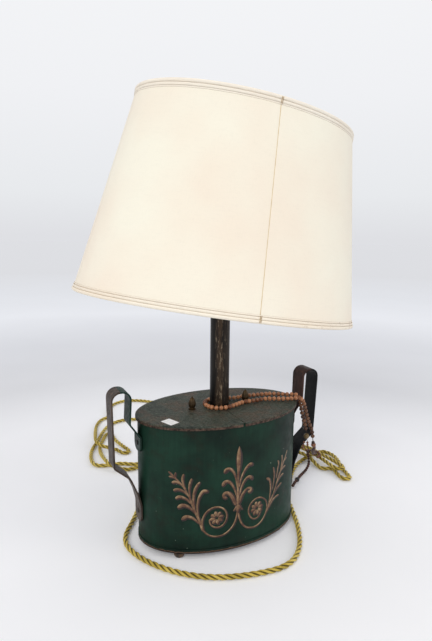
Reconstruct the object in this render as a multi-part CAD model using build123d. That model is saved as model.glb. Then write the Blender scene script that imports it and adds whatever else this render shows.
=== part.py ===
from build123d import *
from math import cos, hypot, pi, radians, sin, tan
import os

# Bouillotte lamp made from an oval tinplate can. Millimetres, +Z up.
# The origin is on the table, on the axis of the stem, in the middle of the can.
# X runs along the can's long axis, through the two strap handles; -Y is the decorated front.

# ---------------------------------------------------------------- driving dimensions
SHEET = 1.0                    # tinplate of the can, the bottom and the lid
EASE = 0.1                     # gap left where two pieces of one body nest
RUNNING = 0.05                 # radial play of a turning or sliding pin
AIR = 0.3                      # gap between pieces that move past each other

CAN_HALF_LENGTH = 124.6
CAN_HALF_WIDTH = 77.2
FOOT_HEIGHT = 9.0
LID_TOP = 193.6                # height of the lid's upper face
LID_OVERHANG = 3.0
LID_SKIRT = 5.0
LID_SLIT = 1.2                 # saw cut from the stem to the front rim
LID_NOTCH = 5.0                # width of the notch where the cut meets the rim
BASE_RIM = 6.0                 # height of the crimped seam round the bottom
RIM_PROUD = 0.8
BOTTOM_FLANGE = 5.0

BOARD_THICKNESS = 9.0          # wooden board inside the bottom
BOARD_MARGIN = 4.0

FOOT_LEFT = 83.0                # the feet are not quite evenly placed
FOOT_RIGHT = 76.0
FOOT_Y = 48.5
FOOT_RADIUS = 7.6
FOOT_NECK_RADIUS = 5.4
FOOT_SCREW_RADIUS = 1.6
FOOT_SCREW_HEAD = 3.0

STRAP_WIDTH = 28.0             # iron strap of the handles
STRAP = 2.4
CROWN_RADIUS = 14.3            # outer radius of the handle's round top
CROWN_HEIGHT = 222.8           # height of that round's centre
CROWN_LEFT = 152.2             # distance of that centre from the stem, left handle
CROWN_RIGHT = 154.4            # the right handle leans out a little more
ELBOW_OUT = 164.4              # the sharp lower bend of the outer leg
ELBOW_HEIGHT = 129.0
ELBOW_LEG_OUT = 15.5           # end of the straight leg under the elbow, from the strap's flat end
ELBOW_LEG_DROP = 19.0
TAIL_LEG_OUT = 4.5             # where the outer leg starts to run along the can
TAIL_LEG_UP = 8.0
TAIL_LEG_DROP = 10.0
KNEE_OUT = 139.6               # where the inner leg turns in to the can
KNEE_HEIGHT = 189.0
PALM_TOP = 168.0               # the flat end that lies on the can, upper
PALM_BOTTOM = 145.0
TAIL_TOP = 76.0                # the flat end that lies on the can, lower
TAIL_BOTTOM = 40.0
PALM_BEND = 4.0                # bends of the strap, taken on its inner face
KNEE_BEND = 5.0
LEG_BEND = 40.0
CROWN_BEND = 13.3
OUTER_LEG_BEND = 60.0
ELBOW_BEND = 4.5
UNDER_ELBOW_BEND = 22.0
TAIL_BEND = 30.0
STRAP_END_RADIUS = 11.0
RIVET_RADIUS = 2.2
RIVET_HEAD_RADIUS = 4.2
RIVET_HEAD = 1.7
UPPER_RIVET = 157.0
LOWER_RIVET = 54.0

STEM_RADIUS = 14.3
STEM_BORE = 12.3
STEM_TOP = 330.0
ROD_RADIUS = 6.5               # half-inch threaded tube that clamps the stem to the lid
ROD_BORE = 4.8
ROD_BELOW_LID = 14.0
NUT_FLATS = 19.0
NUT_HEIGHT = 8.0
WASHER_RADIUS = 15.0
WASHER = 2.0
CAP_RADIUS = 15.4
CAP_HEIGHT = 4.0
SPIGOT = 6.0

ACORN_X = 44.0                 # the two acorn nuts that hold the lid down
ACORN_RADIUS = 5.5
ACORN_HEIGHT = 20.0
TIE_RADIUS = 2.0
TIE_NUT_FLATS = 7.0
TIE_NUT = 3.2

TILT_ABOVE_STEM = 26.3         # height of the tilting axis over the stem's top
TILT_HEIGHT = STEM_TOP + TILT_ABOVE_STEM
SHADE_TILT = 8.62              # how far the shade leans at rest, degrees
SHADE_TURN = -4.81             # how far it is turned about the stem at rest, degrees

HOLDER_CAP_RADIUS = 15.5
HOLDER_RIM_RADIUS = 17.0
HOLDER_WALL = 1.0
HOLDER_NECK = 8.0              # threaded entry of the lampholder
HOLDER_SKIRT_RADIUS = 14.6
HOLDER_SKIRT_BORE = 13.2
HOLDER_SKIRT_RISE = 32.7       # how far the skirt stands up over the tilting axis
HOLDER_SKIRT_TOP = TILT_HEIGHT + HOLDER_SKIRT_RISE
SHADE_RING_RADIUS = 20.0
SHADE_RING_HEIGHT = 8.0
GIMBAL_RADIUS = 25.0
GIMBAL_THICKNESS = 4.0
HUB_BORE_RADIUS = 31.0
HUB_RADIUS = 35.0
PIVOT_RADIUS = 1.5
PIVOT_INSIDE = 5.0             # length of the pivot in the inner ring
PIVOT_HEAD_RADIUS = 3.2
PIVOT_HEAD = 2.0
SPACER_RADIUS = 3.0
ARM_RADIUS = 2.0
ARM_ANGLE = 42.0               # direction of the four arms from the long axis

SWITCH_ABOVE_STEM = 19.0       # height of the push-through bar over the stem's top
SWITCH_HEIGHT = STEM_TOP + SWITCH_ABOVE_STEM
SWITCH_RADIUS = 2.4
SWITCH_END_RADIUS = 3.2
SWITCH_END = 3.0
SWITCH_REACH = 22.5            # from the axis to the outer end of the bar

SHADE_BOTTOM_LENGTH = 205.9    # half lengths and half widths of the oval shade
SHADE_BOTTOM_WIDTH = 149.4
SHADE_TAPER_LONG = 49.0         # how much shorter and narrower the shade is at the top
SHADE_TAPER_WIDE = 41.6
SHADE_TOP_LENGTH = SHADE_BOTTOM_LENGTH - SHADE_TAPER_LONG
SHADE_TOP_WIDTH = SHADE_BOTTOM_WIDTH - SHADE_TAPER_WIDE
SHADE_HEIGHT = 268.4
SHADE_DROP = 14.3              # from the tilt axis down to the shade's bottom edge
SHADE_CARD = 0.8
WIRE_RADIUS = 1.6
TRIM_HEIGHT = 10.0
TRIM = 1.4

BULB_CAP_RADIUS = 11.0
BULB_CAP_HEIGHT = 24.0
BULB_PIN_REACH = 13.5
BULB_RADIUS = 30.0
BULB_HEIGHT = 100.0
BULB_GLASS = 0.8

CORD_RADIUS = 3.85             # three-core twisted flex
CORD_EXIT_HEIGHT = 29.0
LEAD_BEND = 40.0               # widest bend of the lead inside the can
FLEX_BEND = 400.0              # widest bends of the flex and of the bead strings
STRING_BEND = 200.0
GLAND_RADIUS = 9.0
SLEEVE_LENGTH = 24.0
SLEEVE_ROOT_RADIUS = 7.0
SLEEVE_TIP_RADIUS = 5.2
PLUG_WIDTH = 50.0              # three-pin plug, lying on its back
PLUG_LENGTH = 52.0
PLUG_COVER = 13.0
PLUG_BASE = 10.0
PLUG_ENTRY = 8.5               # height of the cord's axis in the plug
PIN_SPACING = 22.2
BEAD_RADIUS = 3.5
TAIL_RADIUS = 2.5
GURU_RADIUS = 4.4
BLACK_BEAD_RADIUS = 4.3

# ---------------------------------------------------------------- what follows from them
LID_UNDER = LID_TOP - SHEET
WALL_TOP = LID_UNDER
BOTTOM_UNDER = FOOT_HEIGHT
BOARD_UNDER = BOTTOM_UNDER + SHEET
BOARD_TOP = BOARD_UNDER + BOARD_THICKNESS
SEAT = CAN_HALF_LENGTH + EASE           # where a strap lies on the end of the can
HOLDER_FOOT = STEM_TOP + CAP_HEIGHT
GIMBAL_UNDER = TILT_HEIGHT - GIMBAL_THICKNESS / 2
SHADE_RING_UNDER = TILT_HEIGHT + GIMBAL_THICKNESS / 2
BULB_FOOT = SHADE_RING_UNDER + SHADE_RING_HEIGHT + 4.0


# ---------------------------------------------------------------- small helpers
def disc(radius, bottom, height, x=0.0, y=0.0):
    return Pos(x, y, bottom) * extrude(Circle(radius), height)


def oval(half_length, half_width, bottom, height):
    return Pos(0, 0, bottom) * extrude(Ellipse(half_length, half_width), height)


def tube(outer, inner, bottom, height, x=0.0, y=0.0):
    return disc(outer, bottom, height, x, y) - disc(inner, bottom, height, x, y)


def turned(*points):
    """A solid of revolution about Z from an outline of (radius, height) points."""
    outline = make_face(Polyline(*points, close=True))
    return revolve(Plane.XZ * outline, Axis.Z)


def along_y(radius, start, end, x, z):
    """A round bar that runs along Y."""
    return Plane(origin=(x, start, z), z_dir=(0, 1, 0)) * extrude(Circle(radius), end - start)


def along_x(radius, start, end, y, z):
    """A round bar that runs along X."""
    return Plane(origin=(start, y, z), z_dir=(1, 0, 0)) * extrude(Circle(radius), end - start)


def tilted(shape):
    """Turns and tilts a shape of the shade, drawn upright about the tilt axis, to its place."""
    return Pos(0, 0, TILT_HEIGHT) * Rot(0, 0, SHADE_TURN) * Rot(0, SHADE_TILT, 0) * shape


def turned_only(shape):
    return Pos(0, 0, TILT_HEIGHT) * Rot(0, 0, SHADE_TURN) * shape


# ---------------------------------------------------------------- the can
def can_wall():
    wall = oval(CAN_HALF_LENGTH, CAN_HALF_WIDTH, BOTTOM_UNDER, WALL_TOP - BOTTOM_UNDER)
    wall -= oval(CAN_HALF_LENGTH - SHEET, CAN_HALF_WIDTH - SHEET, BOTTOM_UNDER, WALL_TOP - BOTTOM_UNDER)
    for height in (UPPER_RIVET, LOWER_RIVET):
        wall -= along_x(RIVET_RADIUS + EASE, -CAN_HALF_LENGTH - 1, CAN_HALF_LENGTH + 1, 0, height)
    wall -= along_y(GLAND_RADIUS - 3 + EASE, 0, CAN_HALF_WIDTH + 1, 0, CORD_EXIT_HEIGHT)
    return wall


def can_bottom():
    nest = SHEET + AIR
    long, wide = CAN_HALF_LENGTH - nest, CAN_HALF_WIDTH - nest
    pan = oval(long, wide, BOTTOM_UNDER, BOTTOM_FLANGE)
    pan -= oval(long - SHEET, wide - SHEET, BOARD_UNDER, BOTTOM_FLANGE)
    for x, y in foot_places():
        pan -= disc(FOOT_SCREW_RADIUS + EASE, BOTTOM_UNDER, SHEET, x, y)
    return pan


def base_rim():
    inner_long, inner_wide = CAN_HALF_LENGTH + EASE, CAN_HALF_WIDTH + EASE
    rim = oval(inner_long + RIM_PROUD, inner_wide + RIM_PROUD, BOTTOM_UNDER, BASE_RIM)
    return rim - oval(inner_long, inner_wide, BOTTOM_UNDER, BASE_RIM)


def base_board():
    long = CAN_HALF_LENGTH - SHEET - BOARD_MARGIN
    wide = CAN_HALF_WIDTH - SHEET - BOARD_MARGIN
    board = oval(long, wide, BOARD_UNDER, BOARD_THICKNESS)
    for x, y in foot_places():
        board -= disc(FOOT_SCREW_RADIUS, BOARD_UNDER, BOARD_THICKNESS, x, y)
    for x in (-ACORN_X, ACORN_X):
        board -= disc(TIE_RADIUS + EASE, BOARD_UNDER, BOARD_THICKNESS, x)
        board -= disc(TIE_NUT_FLATS, BOARD_UNDER, TIE_NUT + EASE, x)
    return board


def lid():
    long, wide = CAN_HALF_LENGTH + LID_OVERHANG, CAN_HALF_WIDTH + LID_OVERHANG
    shell = oval(long, wide, LID_TOP - LID_SKIRT, LID_SKIRT)
    shell = fillet(shell.faces().sort_by(Axis.Z)[-1].edges(), SHEET * 0.8)
    shell -= oval(long - SHEET, wide - SHEET, LID_TOP - LID_SKIRT, LID_SKIRT - SHEET)
    shell -= disc(ROD_RADIUS + EASE, LID_UNDER, SHEET)
    for x in (-ACORN_X, ACORN_X):
        shell -= disc(TIE_RADIUS + EASE, LID_UNDER, SHEET, x)
    slit = Pos(0, -wide / 2, LID_TOP - LID_SKIRT / 2) * Box(LID_SLIT, wide + 2, LID_SKIRT + 2)
    notch = Pos(0, -wide, LID_TOP - LID_SKIRT / 2) * Rot(0, 0, 45) * Box(LID_NOTCH / 1.4, LID_NOTCH / 1.4, LID_SKIRT + 2)
    return shell - slit - notch


# ---------------------------------------------------------------- the strap handles
def handle(side, crown_out):
    """side is -1 for the left handle and 1 for the right one. The outline is drawn for the right."""
    outside = SEAT + STRAP
    inner_leg = crown_out - CROWN_RADIUS
    top = CROWN_HEIGHT + CROWN_RADIUS
    points = [
        (SEAT, PALM_BOTTOM),
        (SEAT, PALM_TOP),
        (KNEE_OUT, KNEE_HEIGHT),
        (inner_leg, CROWN_HEIGHT),
        (inner_leg, top),
        (crown_out + CROWN_RADIUS, top),
        (crown_out + CROWN_RADIUS, CROWN_HEIGHT - 4),
        (ELBOW_OUT, ELBOW_HEIGHT),
        (outside + ELBOW_LEG_OUT, ELBOW_HEIGHT - ELBOW_LEG_DROP),
        (outside + TAIL_LEG_OUT, TAIL_TOP + TAIL_LEG_UP),
        (outside, TAIL_TOP - TAIL_LEG_DROP),
        (outside, TAIL_BOTTOM),
    ]
    crown = [LEG_BEND, CROWN_BEND, CROWN_BEND, OUTER_LEG_BEND]
    radii = [PALM_BEND, KNEE_BEND] + crown + [ELBOW_BEND, UNDER_ELBOW_BEND, LEG_BEND, TAIL_BEND]
    with BuildPart() as strap:
        with BuildSketch(Plane.XZ):
            with BuildLine():
                FilletPolyline(*points, radius=radii)
                offset(amount=STRAP, side=Side.RIGHT)
            make_face()
        extrude(amount=STRAP_WIDTH / 2, both=True)
    shape = strap.part
    ends = shape.edges().filter_by(Axis.X).sort_by(Axis.Z)
    corners = [e for e in ends if abs(e.length - STRAP) < 0.01]
    shape = fillet(corners, STRAP_END_RADIUS)
    for height in (UPPER_RIVET, LOWER_RIVET):
        shape -= along_x(RIVET_RADIUS + EASE, SEAT - 1, outside + 1, 0, height)
    if side < 0:
        shape = mirror(shape, Plane.YZ)
    return shape


def rivets(side):
    group = []
    for height in (UPPER_RIVET, LOWER_RIVET):
        inside = CAN_HALF_LENGTH - SHEET - 0.2
        outside = SEAT + STRAP
        dome = [(0, 0), (RIVET_HEAD_RADIUS, 0), (RIVET_HEAD_RADIUS * 0.7, RIVET_HEAD * 0.75), (0, RIVET_HEAD)]
        head = turned(*dome)
        rivet = Plane(origin=(outside, 0, height), z_dir=(1, 0, 0)) * head
        rivet += along_x(RIVET_RADIUS, inside - RIVET_HEAD, outside, 0, height)
        rivet += along_x(RIVET_HEAD_RADIUS * 0.8, inside - RIVET_HEAD, inside, 0, height)
        if side < 0:
            rivet = mirror(rivet, Plane.YZ)
        group.append(rivet)
    return group


# ---------------------------------------------------------------- feet and tie rods
def foot_places():
    left, right = -FOOT_LEFT, FOOT_RIGHT
    return [(left, -FOOT_Y), (right, -FOOT_Y), (left, FOOT_Y), (right, FOOT_Y)]


def bun_foot(x, y):
    outline = [
        (FOOT_SCREW_RADIUS, 2.5),
        (FOOT_SCREW_RADIUS, FOOT_HEIGHT),
        (FOOT_NECK_RADIUS, FOOT_HEIGHT),
        (FOOT_NECK_RADIUS, FOOT_HEIGHT - 1.2),
        (FOOT_RADIUS * 0.93, FOOT_HEIGHT * 0.7),
        (FOOT_RADIUS, FOOT_HEIGHT * 0.48),
        (FOOT_RADIUS * 0.93, FOOT_HEIGHT * 0.22),
        (FOOT_RADIUS * 0.68, 0),
        (FOOT_SCREW_HEAD + EASE, 0),
        (FOOT_SCREW_HEAD + EASE, 2.5),
    ]
    return Pos(x, y, 0) * turned(*outline)


def foot_screw(x, y):
    head_bottom = 2.5 - 1.6
    screw = disc(FOOT_SCREW_HEAD, head_bottom, 1.6, x, y)
    return screw + disc(FOOT_SCREW_RADIUS - EASE, head_bottom, BOARD_TOP - 1 - head_bottom, x, y)


def hexagon_nut(flats, bore, bottom, height, x=0.0):
    body = Pos(x, 0, bottom) * extrude(RegularPolygon(flats / 2, 6, major_radius=False), height)
    return body - disc(bore, bottom, height, x)


def tie_rod(x):
    return disc(TIE_RADIUS, BOARD_UNDER, LID_TOP + 8 - BOARD_UNDER, x)


def acorn(x):
    base = LID_TOP
    hole = TIE_RADIUS + EASE
    outline = [
        (hole, base),
        (ACORN_RADIUS, base),
        (ACORN_RADIUS, base + 2.2),
        (ACORN_RADIUS - 1.5, base + 3.2),
        (ACORN_RADIUS - 0.3, base + 5.0),
        (ACORN_RADIUS, base + 8.5),
        (ACORN_RADIUS - 0.6, base + 12.5),
        (ACORN_RADIUS - 2.2, base + 16.6),
        (1.1, base + 18.6),
        (0.7, base + ACORN_HEIGHT),
        (0, base + ACORN_HEIGHT),
        (0, base + 8 + EASE),
        (hole, base + 8 + EASE),
    ]
    return Pos(x, 0, 0) * turned(*outline)


# ---------------------------------------------------------------- the stem
def stem_cap():
    bore = ROD_RADIUS + EASE
    cap = tube(CAP_RADIUS, bore, STEM_TOP, CAP_HEIGHT)
    cap = fillet(cap.edges().filter_by(GeomType.CIRCLE).group_by(SortBy.RADIUS)[-1], 1.0)
    return cap + tube(STEM_BORE - EASE, bore, STEM_TOP - SPIGOT, SPIGOT)


def threaded_rod():
    bottom = LID_UNDER - ROD_BELOW_LID
    return tube(ROD_RADIUS, ROD_BORE, bottom, HOLDER_FOOT + HOLDER_NECK - bottom)


# ---------------------------------------------------------------- the lampholder
def holder_cap():
    bore = ROD_RADIUS + EASE
    shoulder = HOLDER_FOOT + HOLDER_NECK
    outline = [
        (bore, HOLDER_FOOT),
        (bore + 3, HOLDER_FOOT),
        (bore + 3, shoulder - 2),
        (HOLDER_CAP_RADIUS, shoulder + 2),
        (HOLDER_CAP_RADIUS, GIMBAL_UNDER - 1.5),
        (HOLDER_RIM_RADIUS, GIMBAL_UNDER - 1.5),
        (HOLDER_RIM_RADIUS, GIMBAL_UNDER),
        (HOLDER_CAP_RADIUS - HOLDER_WALL, GIMBAL_UNDER),
        (HOLDER_CAP_RADIUS - HOLDER_WALL, shoulder + 2.5),
        (bore + 2, shoulder),
        (bore, shoulder),
    ]
    cap = turned(*outline)
    return cap - along_y(SWITCH_RADIUS + RUNNING, -20, 20, 0, SWITCH_HEIGHT)


def holder_skirt():
    """The threaded brass skirt with its two bayonet slots."""
    foot = GIMBAL_UNDER + EASE
    skirt = tube(HOLDER_SKIRT_RADIUS, HOLDER_SKIRT_BORE, foot, HOLDER_SKIRT_TOP - foot)
    lip_foot = SHADE_RING_UNDER + SHADE_RING_HEIGHT + 1
    skirt += tube(HOLDER_SKIRT_RADIUS + 0.7, HOLDER_SKIRT_RADIUS, lip_foot, 1.5)
    for angle in (0, 180):
        slot = Pos(HOLDER_SKIRT_RADIUS, 0, HOLDER_SKIRT_TOP - 5) * Box(6, 2.8, 10.1)
        hook = Rot(0, 0, 12) * Pos(HOLDER_SKIRT_RADIUS, 0, HOLDER_SKIRT_TOP - 8.7) * Box(6, 6.0, 2.8)
        skirt -= Rot(0, 0, angle) * slot
        skirt -= Rot(0, 0, angle) * hook
    return skirt


def switch_block():
    foot = HOLDER_FOOT + HOLDER_NECK + 3.5
    top = BULB_FOOT - 8
    block = disc(HOLDER_SKIRT_BORE - AIR, foot, top - foot)
    block -= along_y(SWITCH_RADIUS + RUNNING, -20, 20, 0, SWITCH_HEIGHT)
    for x in (-4.5, 4.5):
        block -= disc(1.6 + RUNNING, top - 8, 8, x)
    return block


def contact_plungers():
    foot = BULB_FOOT - 16
    pins = [disc(1.6, foot, BULB_FOOT - foot, x) for x in (-4.5, 4.5)]
    return pins


def switch_bar():
    bar = along_y(SWITCH_RADIUS, -SWITCH_REACH, SWITCH_REACH, 0, SWITCH_HEIGHT)
    for start in (-SWITCH_REACH, SWITCH_REACH - SWITCH_END):
        bar += along_y(SWITCH_END_RADIUS, start, start + SWITCH_END, 0, SWITCH_HEIGHT)
    return bar


def shade_ring():
    bore = HOLDER_SKIRT_RADIUS + EASE
    ring = tube(SHADE_RING_RADIUS, bore, SHADE_RING_UNDER, SHADE_RING_HEIGHT)
    for step in range(16):
        groove = disc(0.8, SHADE_RING_UNDER, SHADE_RING_HEIGHT, SHADE_RING_RADIUS)
        ring -= Rot(0, 0, step * 360 / 16) * groove
    return ring


# ---------------------------------------------------------------- the tilting shade carrier
def gimbal_ring():
    half = GIMBAL_THICKNESS / 2
    ring = tube(GIMBAL_RADIUS, HOLDER_SKIRT_RADIUS + EASE, -half, GIMBAL_THICKNESS)
    reach = HUB_RADIUS
    ring -= along_y(PIVOT_RADIUS, GIMBAL_RADIUS - PIVOT_INSIDE, reach, 0, 0)
    ring -= along_y(PIVOT_RADIUS, -reach, PIVOT_INSIDE - GIMBAL_RADIUS, 0, 0)
    return turned_only(ring)


def gimbal_pivots():
    start = GIMBAL_RADIUS - PIVOT_INSIDE
    head = HUB_RADIUS + AIR
    pin = along_y(PIVOT_RADIUS, start, head, 0, 0) + along_y(PIVOT_HEAD_RADIUS, head, head + PIVOT_HEAD, 0, 0)
    return [turned_only(pin), turned_only(Rot(0, 0, 180) * pin)]


def pivot_spacers():
    end = HUB_BORE_RADIUS - AIR
    start = GIMBAL_RADIUS + EASE
    bush = along_y(SPACER_RADIUS, start, end - 0.7, 0, 0) - along_y(PIVOT_RADIUS + EASE, start, end, 0, 0)
    return [turned_only(bush), turned_only(Rot(0, 0, 180) * bush)]


def shade_carrier():
    """The hub that turns on the pivots, and four welded arms that carry the shade's bottom wire."""
    half = GIMBAL_THICKNESS / 2
    carrier = tube(HUB_RADIUS, HUB_BORE_RADIUS, -half, GIMBAL_THICKNESS)
    carrier -= along_y(PIVOT_RADIUS + RUNNING, -HUB_RADIUS - 1, HUB_RADIUS + 1, 0, 0)
    wire_long, wire_wide, wire_height = wire_oval(WIRE_RADIUS + 1.0)
    seat = WIRE_RADIUS + ARM_RADIUS * 0.8
    for angle in (ARM_ANGLE, 180 - ARM_ANGLE, 180 + ARM_ANGLE, -ARM_ANGLE):
        c, s = cos(radians(angle)), sin(radians(angle))
        reach = 1 / hypot(c / (wire_long - seat), s / (wire_wide - seat))
        start = Vector(c * (HUB_RADIUS - 1.5), s * (HUB_RADIUS - 1.5), 0)
        end = Vector(c * reach, s * reach, wire_height)
        direction = end - start
        carrier += Plane(origin=start, z_dir=direction) * extrude(Circle(ARM_RADIUS), direction.length)
    return tilted(carrier)


def bottom_wire():
    return tilted(wire_ring(*wire_oval(WIRE_RADIUS + 1.0)))


def wire_oval(above):
    """Half length, half width and height of a wire that lies inside the card near the bottom."""
    share = above / SHADE_HEIGHT
    inset = SHADE_CARD + WIRE_RADIUS + AIR + 0.3
    long = SHADE_BOTTOM_LENGTH + (SHADE_TOP_LENGTH - SHADE_BOTTOM_LENGTH) * share - inset
    wide = SHADE_BOTTOM_WIDTH + (SHADE_TOP_WIDTH - SHADE_BOTTOM_WIDTH) * share - inset
    return long, wide, above - SHADE_DROP


def wire_ring(long, wide, height):
    path = Pos(0, 0, height) * Ellipse(long, wide).edge()
    section = Plane(origin=(long, 0, height), z_dir=(0, 1, 0)) * Circle(WIRE_RADIUS)
    return sweep(section, path)


def top_wire():
    return tilted(wire_ring(*wire_oval(SHADE_HEIGHT - WIRE_RADIUS - 1.0)))


def cone_shell(outset, thickness, low, high):
    """A band of the shade's oval cone between two heights over its bottom edge."""

    def at(height, inset):
        share = height / SHADE_HEIGHT
        long = SHADE_BOTTOM_LENGTH + (SHADE_TOP_LENGTH - SHADE_BOTTOM_LENGTH) * share
        wide = SHADE_BOTTOM_WIDTH + (SHADE_TOP_WIDTH - SHADE_BOTTOM_WIDTH) * share
        return Pos(0, 0, height - SHADE_DROP) * Ellipse(long + inset, wide + inset)

    outer = loft([at(low, outset), at(high, outset)], ruled=True)
    inner = loft([at(low - 1, outset - thickness), at(high + 1, outset - thickness)], ruled=True)
    return outer - inner


def shade_cover():
    return tilted(cone_shell(0, SHADE_CARD, 0, SHADE_HEIGHT))


def trim(low):
    return tilted(cone_shell(EASE + TRIM, TRIM, low, low + TRIM_HEIGHT))


# ---------------------------------------------------------------- the bulb
def bulb_cap():
    cap = disc(BULB_CAP_RADIUS, BULB_FOOT + 0.5, BULB_CAP_HEIGHT)
    pin_height = HOLDER_SKIRT_TOP - 8.7
    return cap + along_x(1.0, -BULB_PIN_REACH, BULB_PIN_REACH, 0, pin_height)


def bulb_glass():
    foot = BULB_FOOT + 0.5 + BULB_CAP_HEIGHT
    centre = BULB_FOOT + BULB_HEIGHT - BULB_RADIUS
    neck = BULB_CAP_RADIUS + 0.6

    def envelope(inset):
        radius = BULB_RADIUS - inset
        on_globe = [(radius * cos(radians(a)), centre + radius * sin(radians(a))) for a in (-20, 35, 90)]
        with BuildPart() as solid:
            with BuildSketch(Plane.XZ):
                with BuildLine():
                    globe = ThreePointArc(*on_globe)
                    Polyline(globe @ 0, (neck - inset, foot + 10), (neck - inset, foot + inset), (0, foot + inset), globe @ 1)
                make_face()
            revolve(axis=Axis.Z)
        return solid.part

    return envelope(0) - envelope(BULB_GLASS)


def bulb_filament():
    foot = BULB_FOOT + 0.5 + BULB_CAP_HEIGHT + BULB_GLASS
    mount = turned((0, foot + EASE), (5, foot + EASE), (3.2, foot + 14), (2.2, foot + 24), (0, foot + 24))
    for x in (-9, 9):
        lead = Plane(origin=(0, 0, foot + 20), z_dir=(x, 0, 18)) * extrude(Circle(0.5), hypot(x, 18))
        mount += lead
    mount += along_x(0.5, -9, 9, 0, foot + 38)
    return mount


# ---------------------------------------------------------------- the cord
def route_tube(name, points, radius, largest):
    """A round tube on straight runs joined by tangent arcs. Prints its radii and its volume test."""
    spots = [Vector(*p) for p in points]
    runs = [(b - a).length for a, b in zip(spots, spots[1:])]
    radii = []
    for before, here, after in zip(spots, spots[1:], spots[2:]):
        turn = radians((here - before).get_angle(after - here))
        shorter = min((here - before).length, (after - here).length)
        radii.append(min(0.45 * shorter / tan(turn / 2), largest))
    path = FilletPolyline(*spots, radius=radii)
    section = Plane(origin=spots[0], z_dir=spots[1] - spots[0]) * Circle(radius)
    solid = sweep(section, path)
    length = path.length
    share = solid.volume / (pi * radius ** 2 * length)
    print(f"{name}: {length:.0f} mm, volume / (section x length) {share:.4f}")
    print(f"  runs {min(runs):.0f} to {max(runs):.0f} mm, radii {[round(r) for r in radii]}")
    return solid


FLOOR = CORD_RADIUS + 0.05
OVER = FLOOR + 9.0              # where the flex passes over itself
OVER_TWO = FLOOR + 10.2         # and where it passes over two strands at once
ON_LID = LID_TOP + BEAD_RADIUS + 0.1
GURU_HEIGHT = 127.5
GURU_TOP = GURU_HEIGHT + GURU_RADIUS + 0.3
TAIL_HEIGHT = BLACK_BEAD_RADIUS + 0.1
SLEEVE_END = CAN_HALF_WIDTH + EASE + 3 + SLEEVE_LENGTH
CORD_ROUTE = [
    (0, SLEEVE_END, CORD_EXIT_HEIGHT),
    (0, 121, CORD_EXIT_HEIGHT),
    (-3, 139, 20),
    (-12, 155, 9),
    (-30, 165, FLOOR),
    (-58, 154, FLOOR),
    (-86, 116, FLOOR),
    (-115, 62, FLOOR),
    (-147, 16, FLOOR),
    (-141, -28, FLOOR),
    (-112, -76, FLOOR),
    (-69, -113, FLOOR),
    (-13, -132, FLOOR),
    (43, -137, FLOOR),
    (79, -110, FLOOR),
    (106, -67, FLOOR),
    (125, -22, FLOOR),
    (142, 22, FLOOR),
    (180, 70, FLOOR),
    (224, 117, FLOOR),
    (268, 138, FLOOR),
    (312, 152, FLOOR),
    (323, 131, FLOOR),
    (318, 104, FLOOR),
    (304, 78, FLOOR),
    (295, 52, FLOOR),
    (289, 28, FLOOR),
    (272.5, 32, FLOOR),
    (276.5, 55, FLOOR),
    (285, 76, FLOOR),
    (263, 82, FLOOR),
    (263, 100, FLOOR),
    (261, 119, OVER),
    (255, 150, OVER),
    (247, 178, FLOOR),
    (246, 202, FLOOR),
    (269, 202, FLOOR),
    (272, 168, OVER),
    (277, 136, OVER),
    (279, 106, OVER),
    (276, 78, OVER),
    (277, 53, OVER),
    (294, 53, OVER),
    (294, 78, OVER),
    (292, 106, OVER),
    (289, 134, OVER),
    (286, 164, OVER),
    (283, 192, FLOOR),
    (266, 222, FLOOR),
    (234, 244, FLOOR),
    (208, 276, FLOOR),
    (203, 330, FLOOR),
    (197, 386, FLOOR),
    (180, 440, FLOOR),
    (158, 492, FLOOR),
    (128, 540, FLOOR),
    (98, 584, FLOOR),
    (64, 618, FLOOR),
    (22, 634, FLOOR),
    (-17, 610, FLOOR),
    (-34, 568, FLOOR),
    (-41, 526, FLOOR),
    (-66, 514, FLOOR),
    (-83, 482, FLOOR),
    (-94, 444, FLOOR),
    (-103, 402, OVER),
    (-110, 364, OVER_TWO),
    (-104, 341, OVER),
    (-88, 337, 7),
    (-74, 330, FLOOR),
    (-66, 304, FLOOR),
    (-50, 309, FLOOR),
    (-57, 338, FLOOR),
    (-63, 368, FLOOR),
    (-65, 394, FLOOR),
    (-62, 418, FLOOR),
    (-76.5, 420.5, FLOOR),
    (-86, 395, FLOOR),
    (-103, 360, FLOOR),
    (-109, 326, FLOOR),
    (-113, 290, OVER),
    (-111, 256, OVER),
    (-98, 238, 8),
    (-78, 229, FLOOR),
    (-52, 234, FLOOR),
    (-20, 226, FLOOR),
    (22, 228, FLOOR),
    (62, 250, FLOOR),
    (92, 288, FLOOR),
    (104, 336, FLOOR),
    (100, 388, FLOOR),
    (82, 436, FLOOR),
    (50, 470, FLOOR),
    (12, 487, FLOOR),
    (-24, 492, FLOOR),
    (-56, 473, FLOOR),
    (-81, 433, FLOOR),
    (-99, 391, FLOOR),
    (-121, 351, FLOOR),
    (-132, 313, FLOOR),
    (-133, 274, FLOOR),
    (-110, 264, FLOOR),
    (-84, 264, FLOOR),
    (-62, 248, FLOOR),
    (-38, 243, FLOOR),
    (-8, 247, FLOOR),
    (18, 262, FLOOR),
    (34, 286, PLUG_ENTRY),
    (44, 312, PLUG_ENTRY),
]
INNER_ROUTE = [
    (0, SLEEVE_END, CORD_EXIT_HEIGHT),
    (0, 48, CORD_EXIT_HEIGHT),
    (0, 20, 52),
    (0, 0, 100),
    (0, 0, HOLDER_FOOT + HOLDER_NECK + 3.4),
]
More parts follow.
